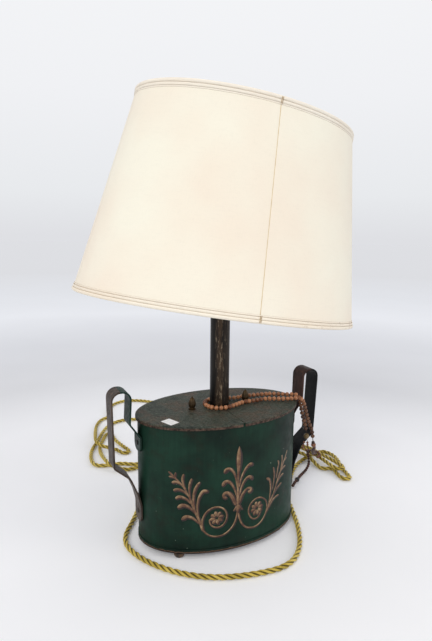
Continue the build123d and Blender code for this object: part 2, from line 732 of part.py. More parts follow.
# a string of wooden beads: round the foot of the stem, over the rim, and its tail on the table
LOOP_ROUTE = [
    (161, -18.4, 122.3),
    (159.4, -18.4, 134.8),
    (153, -18.4, 147),
    (148.5, -18.4, 158),
    (145, -18.4, 170),
    (140.5, -20, 182),
    (132, -24, 194.5),
    (121, -28, 198.4),
    (108, -25, ON_LID),
    (92, -18, ON_LID),
    (74, -9, ON_LID),
    (56, -11, ON_LID),
    (40, -9, ON_LID),
    (27, -13, ON_LID),
    (13, -20, ON_LID),
    (-4, -23, ON_LID),
    (-18, -16.5, ON_LID),
    (-23, -2, ON_LID),
    (-19, 13, ON_LID),
    (-5, 23, ON_LID),
    (13, 22, ON_LID),
    (30, 12, ON_LID),
    (52, 14.5, ON_LID),
    (74, 13, ON_LID),
    (94, 9, ON_LID),
    (109, 0, ON_LID),
    (118, -11, ON_LID + 1.8),
    (129.5, -17, 199.4),
    (133, -18.4, 185),
    (134, -18.4, 171),
    (138.5, -18.4, 157),
    (144, -18.4, 144),
    (148.2, -18.4, GURU_TOP),
]
TAIL_ROUTE = [
    (161, -18.4, 122.3),
    (162.6, -18.4, 109.8),
    (175, -6, 98),
    (192, 20, 80),
    (213, 48, 61),
    (235, 76, 42),
    (254, 97, 29),
    (269, 112, 23),
    (274, 125, 22),
    (263, 131, 21),
    (255, 118, 20),
    (247, 102, 10),
    (231, 90, 4),
    (209.5, 77, TAIL_HEIGHT),
    (176, 52, TAIL_HEIGHT),
    (171, 47.4, 3.4),
]


def gland():
    wall_outside = CAN_HALF_WIDTH + EASE
    throat = GLAND_RADIUS - 3
    ring = along_y(GLAND_RADIUS, wall_outside, wall_outside + 3, 0, CORD_EXIT_HEIGHT)
    ring += along_y(throat, wall_outside - 6, wall_outside + 3, 0, CORD_EXIT_HEIGHT)
    return ring - along_y(CORD_RADIUS + EASE, wall_outside - 7, wall_outside + 4, 0, CORD_EXIT_HEIGHT)


def sleeve():
    """The tapered strain relief on the gland."""
    bore = CORD_RADIUS + EASE
    outline = [(bore, 0), (SLEEVE_ROOT_RADIUS, 0), (SLEEVE_TIP_RADIUS, SLEEVE_LENGTH), (bore, SLEEVE_LENGTH)]
    return Plane(origin=(0, SLEEVE_END - SLEEVE_LENGTH, CORD_EXIT_HEIGHT), z_dir=(0, 1, 0)) * turned(*outline)


def bead(x, y, z, radius):
    return Pos(x, y, z) * Sphere(radius)


def black_bead():
    """The large bead threaded on the last run of the tail, half way along."""
    start, end = Vector(*TAIL_ROUTE[-3]), Vector(*TAIL_ROUTE[-2])
    bore = TAIL_RADIUS + EASE
    half = (BLACK_BEAD_RADIUS ** 2 - bore ** 2) ** 0.5
    bulge = ThreePointArc((bore, -half), (BLACK_BEAD_RADIUS, 0), (bore, half))
    outline = make_face([bulge, Line((bore, half), (bore, -half))])
    ring = revolve(Plane.XZ * outline, Axis.Z)
    return Plane(origin=(start + end) * 0.5, z_dir=end - start) * ring


# ---------------------------------------------------------------- the plug
def at_plug(shape):
    """Places a piece drawn with the cord entering along +X at the origin."""
    before, end = Vector(*CORD_ROUTE[-2]), Vector(*CORD_ROUTE[-1])
    angle = Vector(1, 0, 0).get_signed_angle(end - before, Vector(0, 0, 1))
    return Pos(end.X, end.Y, 0) * Rot(0, 0, angle) * shape


def plug_block(bottom, height):
    narrow = PLUG_WIDTH * 0.22
    wide = PLUG_WIDTH / 2
    outline = [(0, -narrow), (9, -wide), (PLUG_LENGTH, -wide), (PLUG_LENGTH, wide), (9, wide), (0, narrow)]
    block = extrude(make_face(Polyline(*outline, close=True)), height)
    return Pos(0, 0, bottom) * fillet(block.edges().filter_by(Axis.Z), 3.5)


def plug_pockets():
    """Cavities for the three pins and the fuse."""
    foot = PLUG_COVER
    pockets = Pos(33, -15, foot + 3.5) * Box(26.2, 6.8, 7)
    for x, y, long, wide in pin_places():
        pockets += Pos(x, y, foot + 10) * Box(long + 0.2, wide + 0.2, 20)
    return pockets


def pin_places():
    """Place and section of each pin: line, neutral, earth."""
    near = 14.0
    half = PIN_SPACING / 2
    return [(near, -half, 4.0, 6.3), (near, half, 4.0, 6.3), (near + PIN_SPACING, 0, 7.9, 4.0)]


def plug_cover():
    cover = plug_block(0, PLUG_COVER)
    cover = chamfer(cover.faces().sort_by(Axis.Z)[0].edges(), 1.2)
    return at_plug(cover - disc(1.5, 4, PLUG_COVER, 25))


def plug_base():
    base = plug_block(PLUG_COVER, PLUG_BASE) - plug_pockets()
    base -= disc(1.6, PLUG_COVER, PLUG_BASE, 25)
    base -= disc(3.2, PLUG_COVER + PLUG_BASE - 2.5, 3, 25)
    return at_plug(base)


def plug_pins():
    pins = []
    for place, length in zip(pin_places(), (17.7, 17.7, 22.7)):
        x, y, long, wide = place
        foot = PLUG_COVER + 0.1
        top = PLUG_COVER + PLUG_BASE + length
        pin = Pos(x, y, (foot + top) / 2) * Box(long, wide, top - foot)
        pins.append(at_plug(chamfer(pin.faces().sort_by(Axis.Z)[-1].edges(), 0.8)))
    return pins


def plug_fuse():
    return at_plug(along_x(3.2, 20.3, 45.7, -15, PLUG_COVER + 3.5))


def plug_screw():
    screw = disc(3.1, PLUG_COVER + PLUG_BASE - 2.5, 2, 25) + disc(1.4, 6, PLUG_COVER + PLUG_BASE - 8.5, 25)
    return at_plug(screw)


# ---------------------------------------------------------------- build and write
def main_parts():
    acorns = (-ACORN_X, ACORN_X)
    under_washer = LID_UNDER - WASHER
    parts = {
        "can_wall": can_wall(),
        "can_bottom": can_bottom(),
        "base_rim": base_rim(),
        "base_board": base_board(),
        "lid": lid(),
        "handle_left": handle(-1, CROWN_LEFT),
        "handle_right": handle(1, CROWN_RIGHT),
        "handle_rivets": rivets(-1) + rivets(1),
        "foot_front_left": bun_foot(*foot_places()[0]),
        "foot_front_right": bun_foot(*foot_places()[1]),
        "foot_back_left": bun_foot(*foot_places()[2]),
        "foot_back_right": bun_foot(*foot_places()[3]),
        "foot_screws": [foot_screw(x, y) for x, y in foot_places()],
        "tie_rods": [tie_rod(-ACORN_X), tie_rod(ACORN_X)],
        "tie_rod_nuts": [hexagon_nut(TIE_NUT_FLATS, TIE_RADIUS + EASE, BOARD_UNDER, TIE_NUT, x) for x in acorns],
        "acorn_nut_left": acorn(-ACORN_X),
        "acorn_nut_right": acorn(ACORN_X),
        "stem_tube": tube(STEM_RADIUS, STEM_BORE, LID_TOP, STEM_TOP - LID_TOP),
        "stem_ferrule": tube(STEM_BORE - EASE, ROD_RADIUS + EASE, LID_TOP, 6),
        "stem_cap": stem_cap(),
        "stem_washer": tube(WASHER_RADIUS, ROD_RADIUS + EASE, under_washer, WASHER),
        "stem_nut": hexagon_nut(NUT_FLATS, ROD_RADIUS + EASE, under_washer - NUT_HEIGHT, NUT_HEIGHT),
        "threaded_rod": threaded_rod(),
        "holder_cap": holder_cap(),
        "holder_skirt": holder_skirt(),
        "switch_block": switch_block(),
        "contact_plungers": contact_plungers(),
        "switch_bar": switch_bar(),
        "shade_ring": shade_ring(),
        "gimbal_ring": gimbal_ring(),
        "gimbal_pivots": gimbal_pivots(),
        "pivot_spacers": pivot_spacers(),
        "shade_carrier": shade_carrier(),
        "shade_bottom_wire": bottom_wire(),
        "shade_top_wire": top_wire(),
        "shade_cover": shade_cover(),
        "shade_trim_bottom": trim(0),
        "shade_trim_top": trim(SHADE_HEIGHT - TRIM_HEIGHT),
        "bulb_cap": bulb_cap(),
        "bulb_glass": bulb_glass(),
        "bulb_filament": bulb_filament(),
        "cord_gland": gland(),
        "cord_sleeve": sleeve(),
        "internal_flex": route_tube("internal_flex", INNER_ROUTE, CORD_RADIUS, LEAD_BEND),
        "flex_cord": route_tube("flex_cord", CORD_ROUTE, CORD_RADIUS, FLEX_BEND),
        "plug_cover": plug_cover(),
        "plug_base": plug_base(),
        "plug_pins": plug_pins(),
        "plug_fuse": plug_fuse(),
        "plug_screw": plug_screw(),
        "bead_loop": route_tube("bead_loop", LOOP_ROUTE, BEAD_RADIUS, STRING_BEND),
        "guru_bead": bead(148.2, -18.4, GURU_HEIGHT, GURU_RADIUS),
        "bead_tail": route_tube("bead_tail", TAIL_ROUTE, TAIL_RADIUS, STRING_BEND),
        "black_bead": black_bead(),
    }
    return parts


def write(parts):
    os.makedirs("parts", exist_ok=True)
    for name, shape in parts.items():
        if isinstance(shape, list):
            shape = Compound(children=shape)
        export_step(shape, f"parts/{name}.step")


write(main_parts())
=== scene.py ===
import math
import random
from functools import partial

import bpy
import numpy as np
from mathutils import Matrix, Vector


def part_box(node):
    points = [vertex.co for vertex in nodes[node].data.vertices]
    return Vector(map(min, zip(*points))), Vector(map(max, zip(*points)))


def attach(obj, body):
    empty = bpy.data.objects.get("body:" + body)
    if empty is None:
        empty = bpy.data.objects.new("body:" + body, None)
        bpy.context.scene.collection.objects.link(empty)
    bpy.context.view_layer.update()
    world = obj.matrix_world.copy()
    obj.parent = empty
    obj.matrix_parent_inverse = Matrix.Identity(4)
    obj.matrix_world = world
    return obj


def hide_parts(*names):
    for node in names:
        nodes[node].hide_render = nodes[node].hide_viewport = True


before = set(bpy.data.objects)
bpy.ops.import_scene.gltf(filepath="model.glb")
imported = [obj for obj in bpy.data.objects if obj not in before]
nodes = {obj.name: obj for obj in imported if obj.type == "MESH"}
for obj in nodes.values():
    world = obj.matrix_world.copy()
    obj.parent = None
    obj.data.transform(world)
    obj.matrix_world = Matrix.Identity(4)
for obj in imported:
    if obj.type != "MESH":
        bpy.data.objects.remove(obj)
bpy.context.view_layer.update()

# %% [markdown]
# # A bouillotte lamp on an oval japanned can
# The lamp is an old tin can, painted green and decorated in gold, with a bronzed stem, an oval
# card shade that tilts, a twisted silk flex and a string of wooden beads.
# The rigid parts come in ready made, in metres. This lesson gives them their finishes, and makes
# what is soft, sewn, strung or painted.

MM = 0.001


def placed(name, data):
    """Puts data in the scene as an object of that name."""
    made = bpy.data.objects.new(name, data)
    bpy.context.collection.objects.link(made)
    return made


def pick(piece):
    """Selects one piece alone and makes it active, because an operator acts on what is selected."""
    bpy.ops.object.select_all(action="DESELECT")
    piece.select_set(True)
    bpy.context.view_layer.objects.active = piece


def settle(piece):
    """Moves a piece's place, turn and scale into its mesh, so that its object is at the origin."""
    pick(piece)
    bpy.ops.object.transform_apply(location=True, rotation=True, scale=True)
    return piece

# %% [markdown]
# ## Camera
# The picture is upright, so the 36 mm sensor lies along its height. The camera stands a little to
# the left and looks slightly down, and it is close, which is why the base looks small under the shade.

# %% Camera
CAMERA_PLACE = (-0.3178, -0.6494, 0.4421)
AZIMUTH, ELEVATION, ROLL = (math.radians(degrees) for degrees in (-25.58, 9.41, 0.68))
LENS_MM, SENSOR_MM = 28.26, 36.0
camera_data = bpy.data.cameras.new("camera")
camera_data.lens, camera_data.sensor_width = LENS_MM, SENSOR_MM
camera_data.clip_start = 0.01
camera = placed("camera", camera_data)
aim = Matrix.Rotation(AZIMUTH, 4, "Z") @ Matrix.Rotation(math.pi / 2 - ELEVATION, 4, "X")
aim = aim @ Matrix.Rotation(ROLL, 4, "Z")
camera.matrix_world = Matrix.Translation(CAMERA_PLACE) @ aim
bpy.context.scene.camera = camera
bpy.context.scene.view_settings.view_transform = "Standard"
print("camera at", [round(v, 3) for v in camera.location])

# %% [markdown]
# ## Flex
# The flex is three cores, each in its own silk braid, twisted together. It lies in loose loops on
# the table. A NURBS spline through the route's points gives the smooth line that a soft cord takes.
# The three strands are then wound round that line, because a plain tube would lose the twist.

# %% The route of the flex, in millimetres
CORD_RADIUS = 3.85
FLOOR = CORD_RADIUS + 0.05      # the height of its axis on the table
OVER = FLOOR + 9.0              # and where it passes over itself
OVER_TWO = FLOOR + 10.2         # or over two strands at once
ENTRY = 8.5                     # and where it goes into the plug
CORD_EXIT = (0, 104.3, 29)
flex_route = [
    CORD_EXIT, (0, 121, 29), (-3, 139, 20), (-12, 155, 9),
    (-30, 165), (-58, 154), (-86, 116), (-115, 62), (-147, 16), (-141, -28), (-112, -76),
    (-69, -113), (-13, -132), (43, -137), (79, -110), (106, -67), (125, -22), (142, 22),
    (180, 70), (224, 117), (268, 138), (312, 152), (323, 131), (318, 104), (304, 78),
    (295, 52), (289, 28), (272.5, 32), (276.5, 55), (285, 76), (263, 82), (263, 100),
    (261, 119, OVER), (255, 150, OVER), (247, 178), (246, 202), (269, 202),
    (272, 168, OVER), (277, 136, OVER), (279, 106, OVER), (276, 78, OVER), (277, 53, OVER),
    (294, 53, OVER), (294, 78, OVER), (292, 106, OVER), (289, 134, OVER), (286, 164, OVER),
    (283, 192), (266, 222), (234, 244), (208, 276), (203, 330), (197, 386), (180, 440),
    (158, 492), (128, 540), (98, 584), (64, 618), (22, 634), (-17, 610), (-34, 568),
    (-41, 526), (-66, 514), (-83, 482), (-94, 444), (-103, 402, OVER), (-110, 364, OVER_TWO),
    (-104, 341, OVER), (-88, 337, 7), (-74, 330), (-66, 304), (-50, 309), (-57, 338),
    (-63, 368), (-65, 394), (-62, 418), (-76.5, 420.5), (-86, 395), (-103, 360), (-109, 326),
    (-113, 290, OVER), (-111, 256, OVER), (-98, 238, 8), (-78, 229), (-52, 234), (-20, 226),
    (22, 228), (62, 250), (92, 288), (104, 336), (100, 388), (82, 436), (50, 470), (12, 487),
    (-24, 492), (-56, 473), (-81, 433), (-99, 391), (-121, 351), (-132, 313), (-133, 274),
    (-110, 264), (-84, 264), (-62, 248), (-38, 243), (-8, 247), (18, 262),
    (34, 286, ENTRY), (44, 312, ENTRY),
]

# %% A smooth line through a route
def reached(points):
    """How far along the line each of its points is."""
    return np.concatenate([[0], np.cumsum(np.linalg.norm(np.diff(points, axis=0), axis=1))])


def smooth_line(name, route, step=1 * MM, level=FLOOR):
    """Points every step metres down the NURBS spline that has the route as its control points. A spot
    of the route that gives no height lies at the level."""
    curve = bpy.data.curves.new(name, "CURVE")
    curve.dimensions = "3D"
    spline = curve.splines.new("NURBS")
    spline.points.add(len(route) - 1)
    for control, spot in zip(spline.points, route):
        x, y, z = (*spot, level)[:3]
        control.co = (x * MM, y * MM, z * MM, 1)
    spline.order_u = 3
    spline.use_endpoint_u = True
    spline.resolution_u = 12
    holder = bpy.data.objects.new(name, curve)
    mesh = bpy.data.meshes.new_from_object(holder)
    points = np.array([v.co[:] for v in mesh.vertices])
    bpy.data.meshes.remove(mesh)
    bpy.data.curves.remove(curve)
    reach = reached(points)
    marks = np.linspace(0, reach[-1], max(2, round(reach[-1] / step) + 1))
    line = np.stack([np.interp(marks, reach, points[:, axis]) for axis in range(3)], axis=1)
    print(name, "is", round(reach[-1], 3), "m long")
    return line, reach[-1]


def frames_along(line):
    """Two directions square to the line at each of its points, carried along without twisting."""
    ahead = np.gradient(line, axis=0)
    ahead /= np.linalg.norm(ahead, axis=1)[:, None]
    side = np.cross(ahead[0], (0, 0, 1) if abs(ahead[0][2]) < 0.9 else (1, 0, 0))
    sides = []
    for direction in ahead:
        side = side - direction * (side @ direction)
        side /= np.linalg.norm(side)
        sides.append(side)
    sides = np.array(sides)
    return ahead, sides, np.cross(ahead, sides)

# %% Strands wound round a line
def wound(name, line, strand_radius, strands=1, centre_radius=0, pitch=1, sides=5):
    """A mesh of round strands that wind round the line, or a plain thread where there is one strand.
    Its UV map runs round and along each strand, and along is in metres."""
    ahead, side, up = frames_along(line)
    reach = reached(line)
    points, faces, round_along = [], [], []
    for strand in range(strands):
        angle = 2 * math.pi * (reach / pitch + strand / strands)
        out = np.cos(angle)[:, None] * side + np.sin(angle)[:, None] * up
        middle = line + centre_radius * out
        first = len(points)
        across = np.cross(np.gradient(middle, axis=0), out)
        across /= np.linalg.norm(across, axis=1)[:, None]
        for spot, u, v in zip(middle, out, across):
            for k in range(sides):
                turn = 2 * math.pi * k / sides
                points.append(spot + strand_radius * (math.cos(turn) * u + math.sin(turn) * v))
        for ring in range(len(line) - 1):
            for k in range(sides):
                near, far = first + ring * sides, first + (ring + 1) * sides
                after = (k + 1) % sides
                faces.append((near + k, near + after, far + after, far + k))
                low, high = k / sides, (k + 1) / sides
                round_along += [
                    (low, reach[ring]), (high, reach[ring]), (high, reach[ring + 1]), (low, reach[ring + 1])
                ]
        for ring, order in ((0, -1), (len(line) - 1, 1)):
            faces.append(tuple(first + ring * sides + k for k in range(sides)[::order]))
            round_along += [(0.5, reach[ring])] * sides
    mesh = bpy.data.meshes.new(name)
    mesh.from_pydata([tuple(p) for p in points], [], faces)
    uv = mesh.uv_layers.new(name="UVMap")
    uv.data.foreach_set("uv", np.array(round_along, np.float32).ravel())
    piece = placed(name, mesh)
    outwards(piece)
    mesh.polygons.foreach_set("use_smooth", [True] * len(mesh.polygons))
    return piece


def outwards(piece):
    """Turns every face of a closed piece outwards, and leaves the piece picked."""
    pick(piece)
    bpy.ops.object.mode_set(mode="EDIT")
    bpy.ops.mesh.select_all(action="SELECT")
    bpy.ops.mesh.normals_make_consistent(inside=False)
    bpy.ops.object.mode_set(mode="OBJECT")

# %% The flex
TWIST = 34 * MM                 # one full turn of the three cores
flex_line, flex_length = smooth_line("flex_line", flex_route, 1.7 * MM)
STRAND_RADIUS = CORD_RADIUS * MM / (1 + 2 / math.sqrt(3))
flex = wound("flex", flex_line, STRAND_RADIUS, 3, CORD_RADIUS * MM - STRAND_RADIUS, TWIST, sides=8)
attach(flex, "base")
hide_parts("flex_cord")
print(len(flex.data.polygons), "faces on the flex")

# %% [markdown]
# ## Beads
# A string of turned wooden beads goes once round the foot of the stem, over the lid's rim and down.
# Under its large pale bead the tail carries darker, smaller beads to the table. A bead is modelled
# once, as a squat ball with flattened ends, and copied down the string, each with its own shade of wood.

# %% The routes of the beads, in millimetres
ON_LID = 197.2                  # the height of the beads' axis there
loop_route = [                  # a spot without a height lies on the lid
    (161, -18.4, 122.3), (159.4, -18.4, 134.8), (153, -18.4, 147), (148.5, -18.4, 158),
    (145, -18.4, 170), (140.5, -20, 182), (132, -24, 194.5), (121, -28, 198.4), (108, -25),
    (92, -18), (74, -9), (56, -11), (40, -9), (27, -13), (13, -20), (-4, -23), (-18, -16.5),
    (-23, -2), (-19, 13), (-5, 23), (13, 22), (30, 12), (52, 14.5), (74, 13), (94, 9), (109, 0),
    (118, -11, ON_LID + 1.8), (129.5, -17, 199.4), (134, -18.4, 186), (136.8, -18.4, 171),
    (141, -18.4, 157), (145.5, -18.4, 144), (148.2, -18.4, 132.2),
]
tail_route = [
    (161, -18.4, 122.3), (162.6, -18.4, 109.8), (175, -6, 98), (192, 20, 80), (213, 48, 61), (235, 76, 42),
    (254, 97, 29), (269, 112, 23), (274, 125, 22), (263, 131, 21), (255, 118, 20), (247, 102, 10),
    (231, 90, 4), (209.5, 77, 4.4), (176, 52, 4.4), (171, 47.4, 3.4),
]

# %% One bead, and a string of them
def bead_shape(radius, stretch, segments=12, rings=8):
    """The corners and faces of one bead, bored end along Z: a ball with its two ends cut flat."""
    bpy.ops.mesh.primitive_uv_sphere_add(segments=segments, ring_count=rings, radius=radius)
    ball = bpy.context.object
    ball.data.transform(Matrix.Diagonal((1, 1, stretch, 1)))
    bpy.ops.object.mode_set(mode="EDIT")
    for end in (-1, 1):
        bpy.ops.mesh.select_all(action="SELECT")
        cut = (0, 0, end * radius * stretch * 0.9)
        bpy.ops.mesh.bisect(plane_co=cut, plane_no=(0, 0, end), clear_outer=True, use_fill=True)
    bpy.ops.object.mode_set(mode="OBJECT")
    shape = [v.co.copy() for v in ball.data.vertices], [tuple(f.vertices) for f in ball.data.polygons]
    bpy.data.objects.remove(ball)
    return shape


def mark(piece, name, values):
    """Gives each corner of the piece a number, for its material to read."""
    made = piece.data.attributes.new(name, "FLOAT", "POINT")
    made.data.foreach_set("value", np.array(values, np.float32))


def strung(name, line, first, spacing, radius, stretch=0.94, seed=3):
    """Beads threaded one after another to the line's end. first is the distance to the first bead,
    and it, the spacing and the radius are in millimetres."""
    chance = random.Random(seed)
    first, spacing, radius = first * MM, spacing * MM, radius * MM
    ahead, side, up = frames_along(line)
    reach = reached(line)
    count = int((reach[-1] - radius - first) / spacing) + 1
    corners, sheets = bead_shape(radius, stretch)
    points, faces, tone = [], [], []
    for number in range(count):
        index = int(np.searchsorted(reach, first + spacing * number).clip(1, len(line) - 1))
        turn = Matrix((side[index], up[index], ahead[index])).transposed()
        turn = turn @ Matrix.Rotation(chance.uniform(0, 6.28), 3, "Z")
        size = chance.uniform(0.96, 1.0)
        start = len(points)
        points += [tuple(Vector(line[index]) + turn @ (corner * size)) for corner in corners]
        faces += [tuple(start + k for k in sheet) for sheet in sheets]
        tone += [chance.random()] * len(corners)
    mesh = bpy.data.meshes.new(name)
    mesh.from_pydata(points, [], faces)
    mesh.polygons.foreach_set("use_smooth", [True] * len(mesh.polygons))
    beads = placed(name, mesh)
    mark(beads, "bead_tone", tone)
    print(name, "has", count, "beads")
    return beads

# %% The loop and the tail
loop_line, loop_length = smooth_line("loop_line", loop_route, level=ON_LID)
tail_line, tail_length = smooth_line("tail_line", tail_route)
loop_beads = strung("bead_string", loop_line, 2.5, 6.9, 3.5)
tail_beads = strung("bead_tassel", tail_line, 8, 6.3, 2.9, stretch=0.9, seed=8)
loop_thread = wound("loop_thread", loop_line, 0.6 * MM)
tail_thread = wound("tail_thread", tail_line, 0.6 * MM)

# %% The bunch where the tail turns, and two loose ends
ONE_BEAD = 1000                 # a spacing that leaves room for one bead
END_THREAD = 0.5 * MM
bunch_route = [
    (262, 138, 19.9), (271, 134, 19.9), (279, 126, 19.9), (279, 114, 19.9), (273, 104, 19.9),
    (264, 98, 19.9), (262, 108, 20.4),
]
bunch_line, _ = smooth_line("bunch_line", bunch_route)
bunch = [
    strung("big_bead", tail_line[13:16], 1, ONE_BEAD, 4.1, seed=5),
    strung("bunched_beads", bunch_line, 1, 5.7, 2.8, seed=12),
]
for name, route, first, spacing, radius, seed in (
    ("left_end", [(146.6, -18.4, 124), (143, -18.6, 117), (142.4, -18.4, 107)], 6.5, 4.4, 2.1, 4),
    ("right_end", [(149, -18.4, 123.5), (151, -18.6, 117), (151.4, -18.4, 109)], 7.5, 4.2, 2.0, 6),
):
    line, _ = smooth_line(name, route)
    bunch.append(strung(name + "_beads", line, first, spacing, radius, seed=seed))
    bunch.append(wound(name + "_thread", line, END_THREAD))
bunch.append(wound("bunch_thread", bunch_line, END_THREAD))
for piece in bunch:
    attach(piece, "base")

# %% Which parts the beads stand in for
for beads, thread, line, length, radius, knot, node_name in (
    (loop_beads, loop_thread, loop_line, loop_length, 3.5, "guru_bead", "bead_loop"),
    (tail_beads, tail_thread, tail_line, tail_length, 2.9, "black_bead", "bead_tail"),
):
    for piece in (beads, thread):
        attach(piece, "base")
    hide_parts(node_name)

# %% [markdown]
# ## Finishes
# Every finish starts from what the real surface is. Colours are given as a screen shows them, in
# hex, and turned to the linear values that a shader works with. Patterns are sized in millimetres:
# a noise or wave texture of scale 1000 / s on Object coordinates repeats about every s millimetres.
# Plain values fill a node's sockets in order: for a noise its place, scale, detail and roughness.

# %% Colours, nodes and a base for every finish
def linear(code):
    """The linear colour of a hex code."""
    parts = [int(code[k:k + 2], 16) / 255 for k in (0, 2, 4)]
    return [p / 12.92 if p <= 0.04045 else ((p + 0.055) / 1.055) ** 2.4 for p in parts] + [1.0]


def fill(made, *values, **sockets):
    """Fills a node's inputs, in order or by name with _ for a space. A value is a number, a hex colour,
    an output, or a node, which stands for its first output in use."""
    pairs = list(zip([socket for socket in made.inputs if socket.enabled], values))
    pairs += [(made.inputs[name.replace("_", " ")], value) for name, value in sockets.items()]
    for socket, value in pairs:
        if isinstance(value, bpy.types.Node):
            value = next(output for output in value.outputs if output.enabled)
        if isinstance(value, bpy.types.NodeSocket):
            made.id_data.links.new(value, socket)
        else:
            socket.default_value = linear(value) if isinstance(value, str) else value


def node(tree, kind, *values, stops=(), **settings):
    """Adds one shader node. A setting in small letters is the node's own, and one with a capital is a
    socket. A ramp's stops are (place, hex or grey)."""
    made = tree.nodes.new("ShaderNode" + kind)
    for name in [name for name in settings if name[0].islower()]:
        setattr(made, name, settings.pop(name))
    fill(made, *values, **settings)
    for _ in stops[2:]:
        made.color_ramp.elements.new(1.0)
    for number, (place, shade) in enumerate(stops):
        made.color_ramp.elements[number].position = place
        shade = linear(shade) if isinstance(shade, str) else (shade, shade, shade, 1)
        made.color_ramp.elements[number].color = shade
    return made


TINT = {"data_type": "RGBA"}                              # for a Mix of two colours
TIMES = {"data_type": "RGBA", "blend_type": "MULTIPLY"}   # and for one that multiplies them


def mottle(add, place, size, detail, roughness, *stops, stretch=None):
    """Noise in blotches of about size millimetres, in the tones of the stops. stretch says how many
    times as long the blotches are along X, Y and Z."""
    if stretch:
        place = add("Mapping", place, Scale=[1 / times for times in stretch])
    return add("ValToRGB", add("TexNoise", place, 1000 / size, detail, roughness), stops=stops)


def finish(name, roughness, metallic=0.0, grit=None, **sockets):
    """A new material, the call that adds a node to it, its shader and the piece's own place in metres.
    grit is an even relief: its size in millimetres, detail, roughness, depth in millimetres, strength."""
    made = bpy.data.materials.new(name)
    made.use_nodes = True
    add = partial(node, made.node_tree)
    shader = made.node_tree.nodes["Principled BSDF"]
    fill(shader, Roughness=roughness, Metallic=metallic, **sockets)
    where = add("TexCoord").outputs["Object"]
    if grit:
        size, detail, rough, depth, strength = grit
        bumps = add("TexNoise", where, 1000 / size, detail, rough)
        fill(shader, Normal=add("Bump", Height=bumps, Distance=depth * MM, Strength=strength))
    return made, add, shader, where


def wear(made, *pieces):
    """Puts a finish on pieces. A rigid part is given by its name."""
    for piece in pieces:
        if isinstance(piece, str):
            for holder in nodes[piece].material_slots:
                holder.material = made
        else:
            piece.data.materials.append(made)
    print(made.name, "on", len(pieces), "pieces")

# %% [markdown]
# ## Floor, world and lamps
# The lamp stands on a pale sheet in a soft even light, with one large lamp high on the left. Its
# tone darkens with distance, and a painted glow that only the camera, mirrors and glass see lightens it.
# What the camera, metal and glass see of the world is a pale grey that grows lighter upwards. The
# light on the object itself stays at a plain level.

# %% World
world = bpy.data.worlds.new("studio")
bpy.context.scene.world = world
world.use_nodes = True
sky = world.node_tree
add = partial(node, sky)
plain = sky.nodes["Background"]
fill(plain, Color="F8F8FC", Strength=0.7)
direction = add("SeparateXYZ", add("TexCoord").outputs["Generated"]).outputs["Z"]
wall = add(
    "ValToRGB", direction, stops=[(0.0, "DFE0E4"), (0.08, "E8EAED"), (0.25, "F0F1F4"), (0.5, "F5F6F8")]
)
seen = add("Background", Color=wall, Strength=1.0)


def seen_directly(add):
    """One for a ray from the camera, a mirror image or a look through glass, and nought for light
    that falls on things."""
    rays = add("LightPath").outputs
    most = add("Math", rays["Is Camera Ray"], rays["Is Glossy Ray"], operation="MAXIMUM")
    return add("Math", most, rays["Is Transmission Ray"], operation="MAXIMUM")


both = add("MixShader", seen_directly(add), plain, seen)
fill(sky.nodes["World Output"], Surface=both)

# %% Floor
FLOOR_REACH = 40.0
bpy.ops.mesh.primitive_circle_add(
    vertices=96, radius=FLOOR_REACH, fill_type="NGON", location=(0, 0, -0.0004)
)
floor = settle(bpy.context.object)
floor.name = "floor"
paper, add, shader, where = finish("studio_paper", 0.9, Specular_IOR_Level=0.1)
across = add("VectorMath", where, operation="LENGTH")
share = add("Math", across, 8.0, operation="DIVIDE")
tone = add(
    "ValToRGB", share,
    stops=[(0.07, "F3F4F6"), (0.11, "DFE0E2"), (0.18, "C4C5C8"), (0.42, "8A8B8E"), (0.7, "000000")]
)
flecks = mottle(add, where, 500, 3, 0.55, (0.35, 0.96), (0.65, 1.0))
tone = add("Mix", 1.0, tone, flecks, **TIMES)
fill(shader, Base_Color=tone)
# painted light: a glow that only the camera, mirrors and glass see, growing with distance
glow = add(
    "ValToRGB", share,
    stops=[
        (0.07, "4E5054"), (0.11, "505256"), (0.18, "8C8E92"), (0.28, "BABCC0"), (0.42, "C6C8CC"),
        (0.7, "D9DADE")
    ]
)
far = add("Emission", glow, seen_directly(add))
lit = add("AddShader", shader, far)
fill(paper.node_tree.nodes["Material Output"], Surface=lit)
wear(paper, floor)

# %% Lamps
def lamp(name, place, target, size, watts, colour):
    """A round soft lamp that looks at its target."""
    light = bpy.data.lights.new(name, "AREA")
    light.shape = "DISK"
    light.size, light.energy, light.color = size, watts, linear(colour)[:3]
    holder = placed(name, light)
    holder.location = place
    holder.rotation_mode = "QUATERNION"
    holder.rotation_quaternion = (Vector(target) - Vector(place)).to_track_quat("-Z", "Y")


lamp("window", (-1.9, -1.7, 2.0), (0, 0, 0.3), 1.5, 34, "FFFBF4")
lamp("fill", (2.1, -1.7, 1.3), (0, 0, 0.35), 1.6, 16, "FFFBF6")
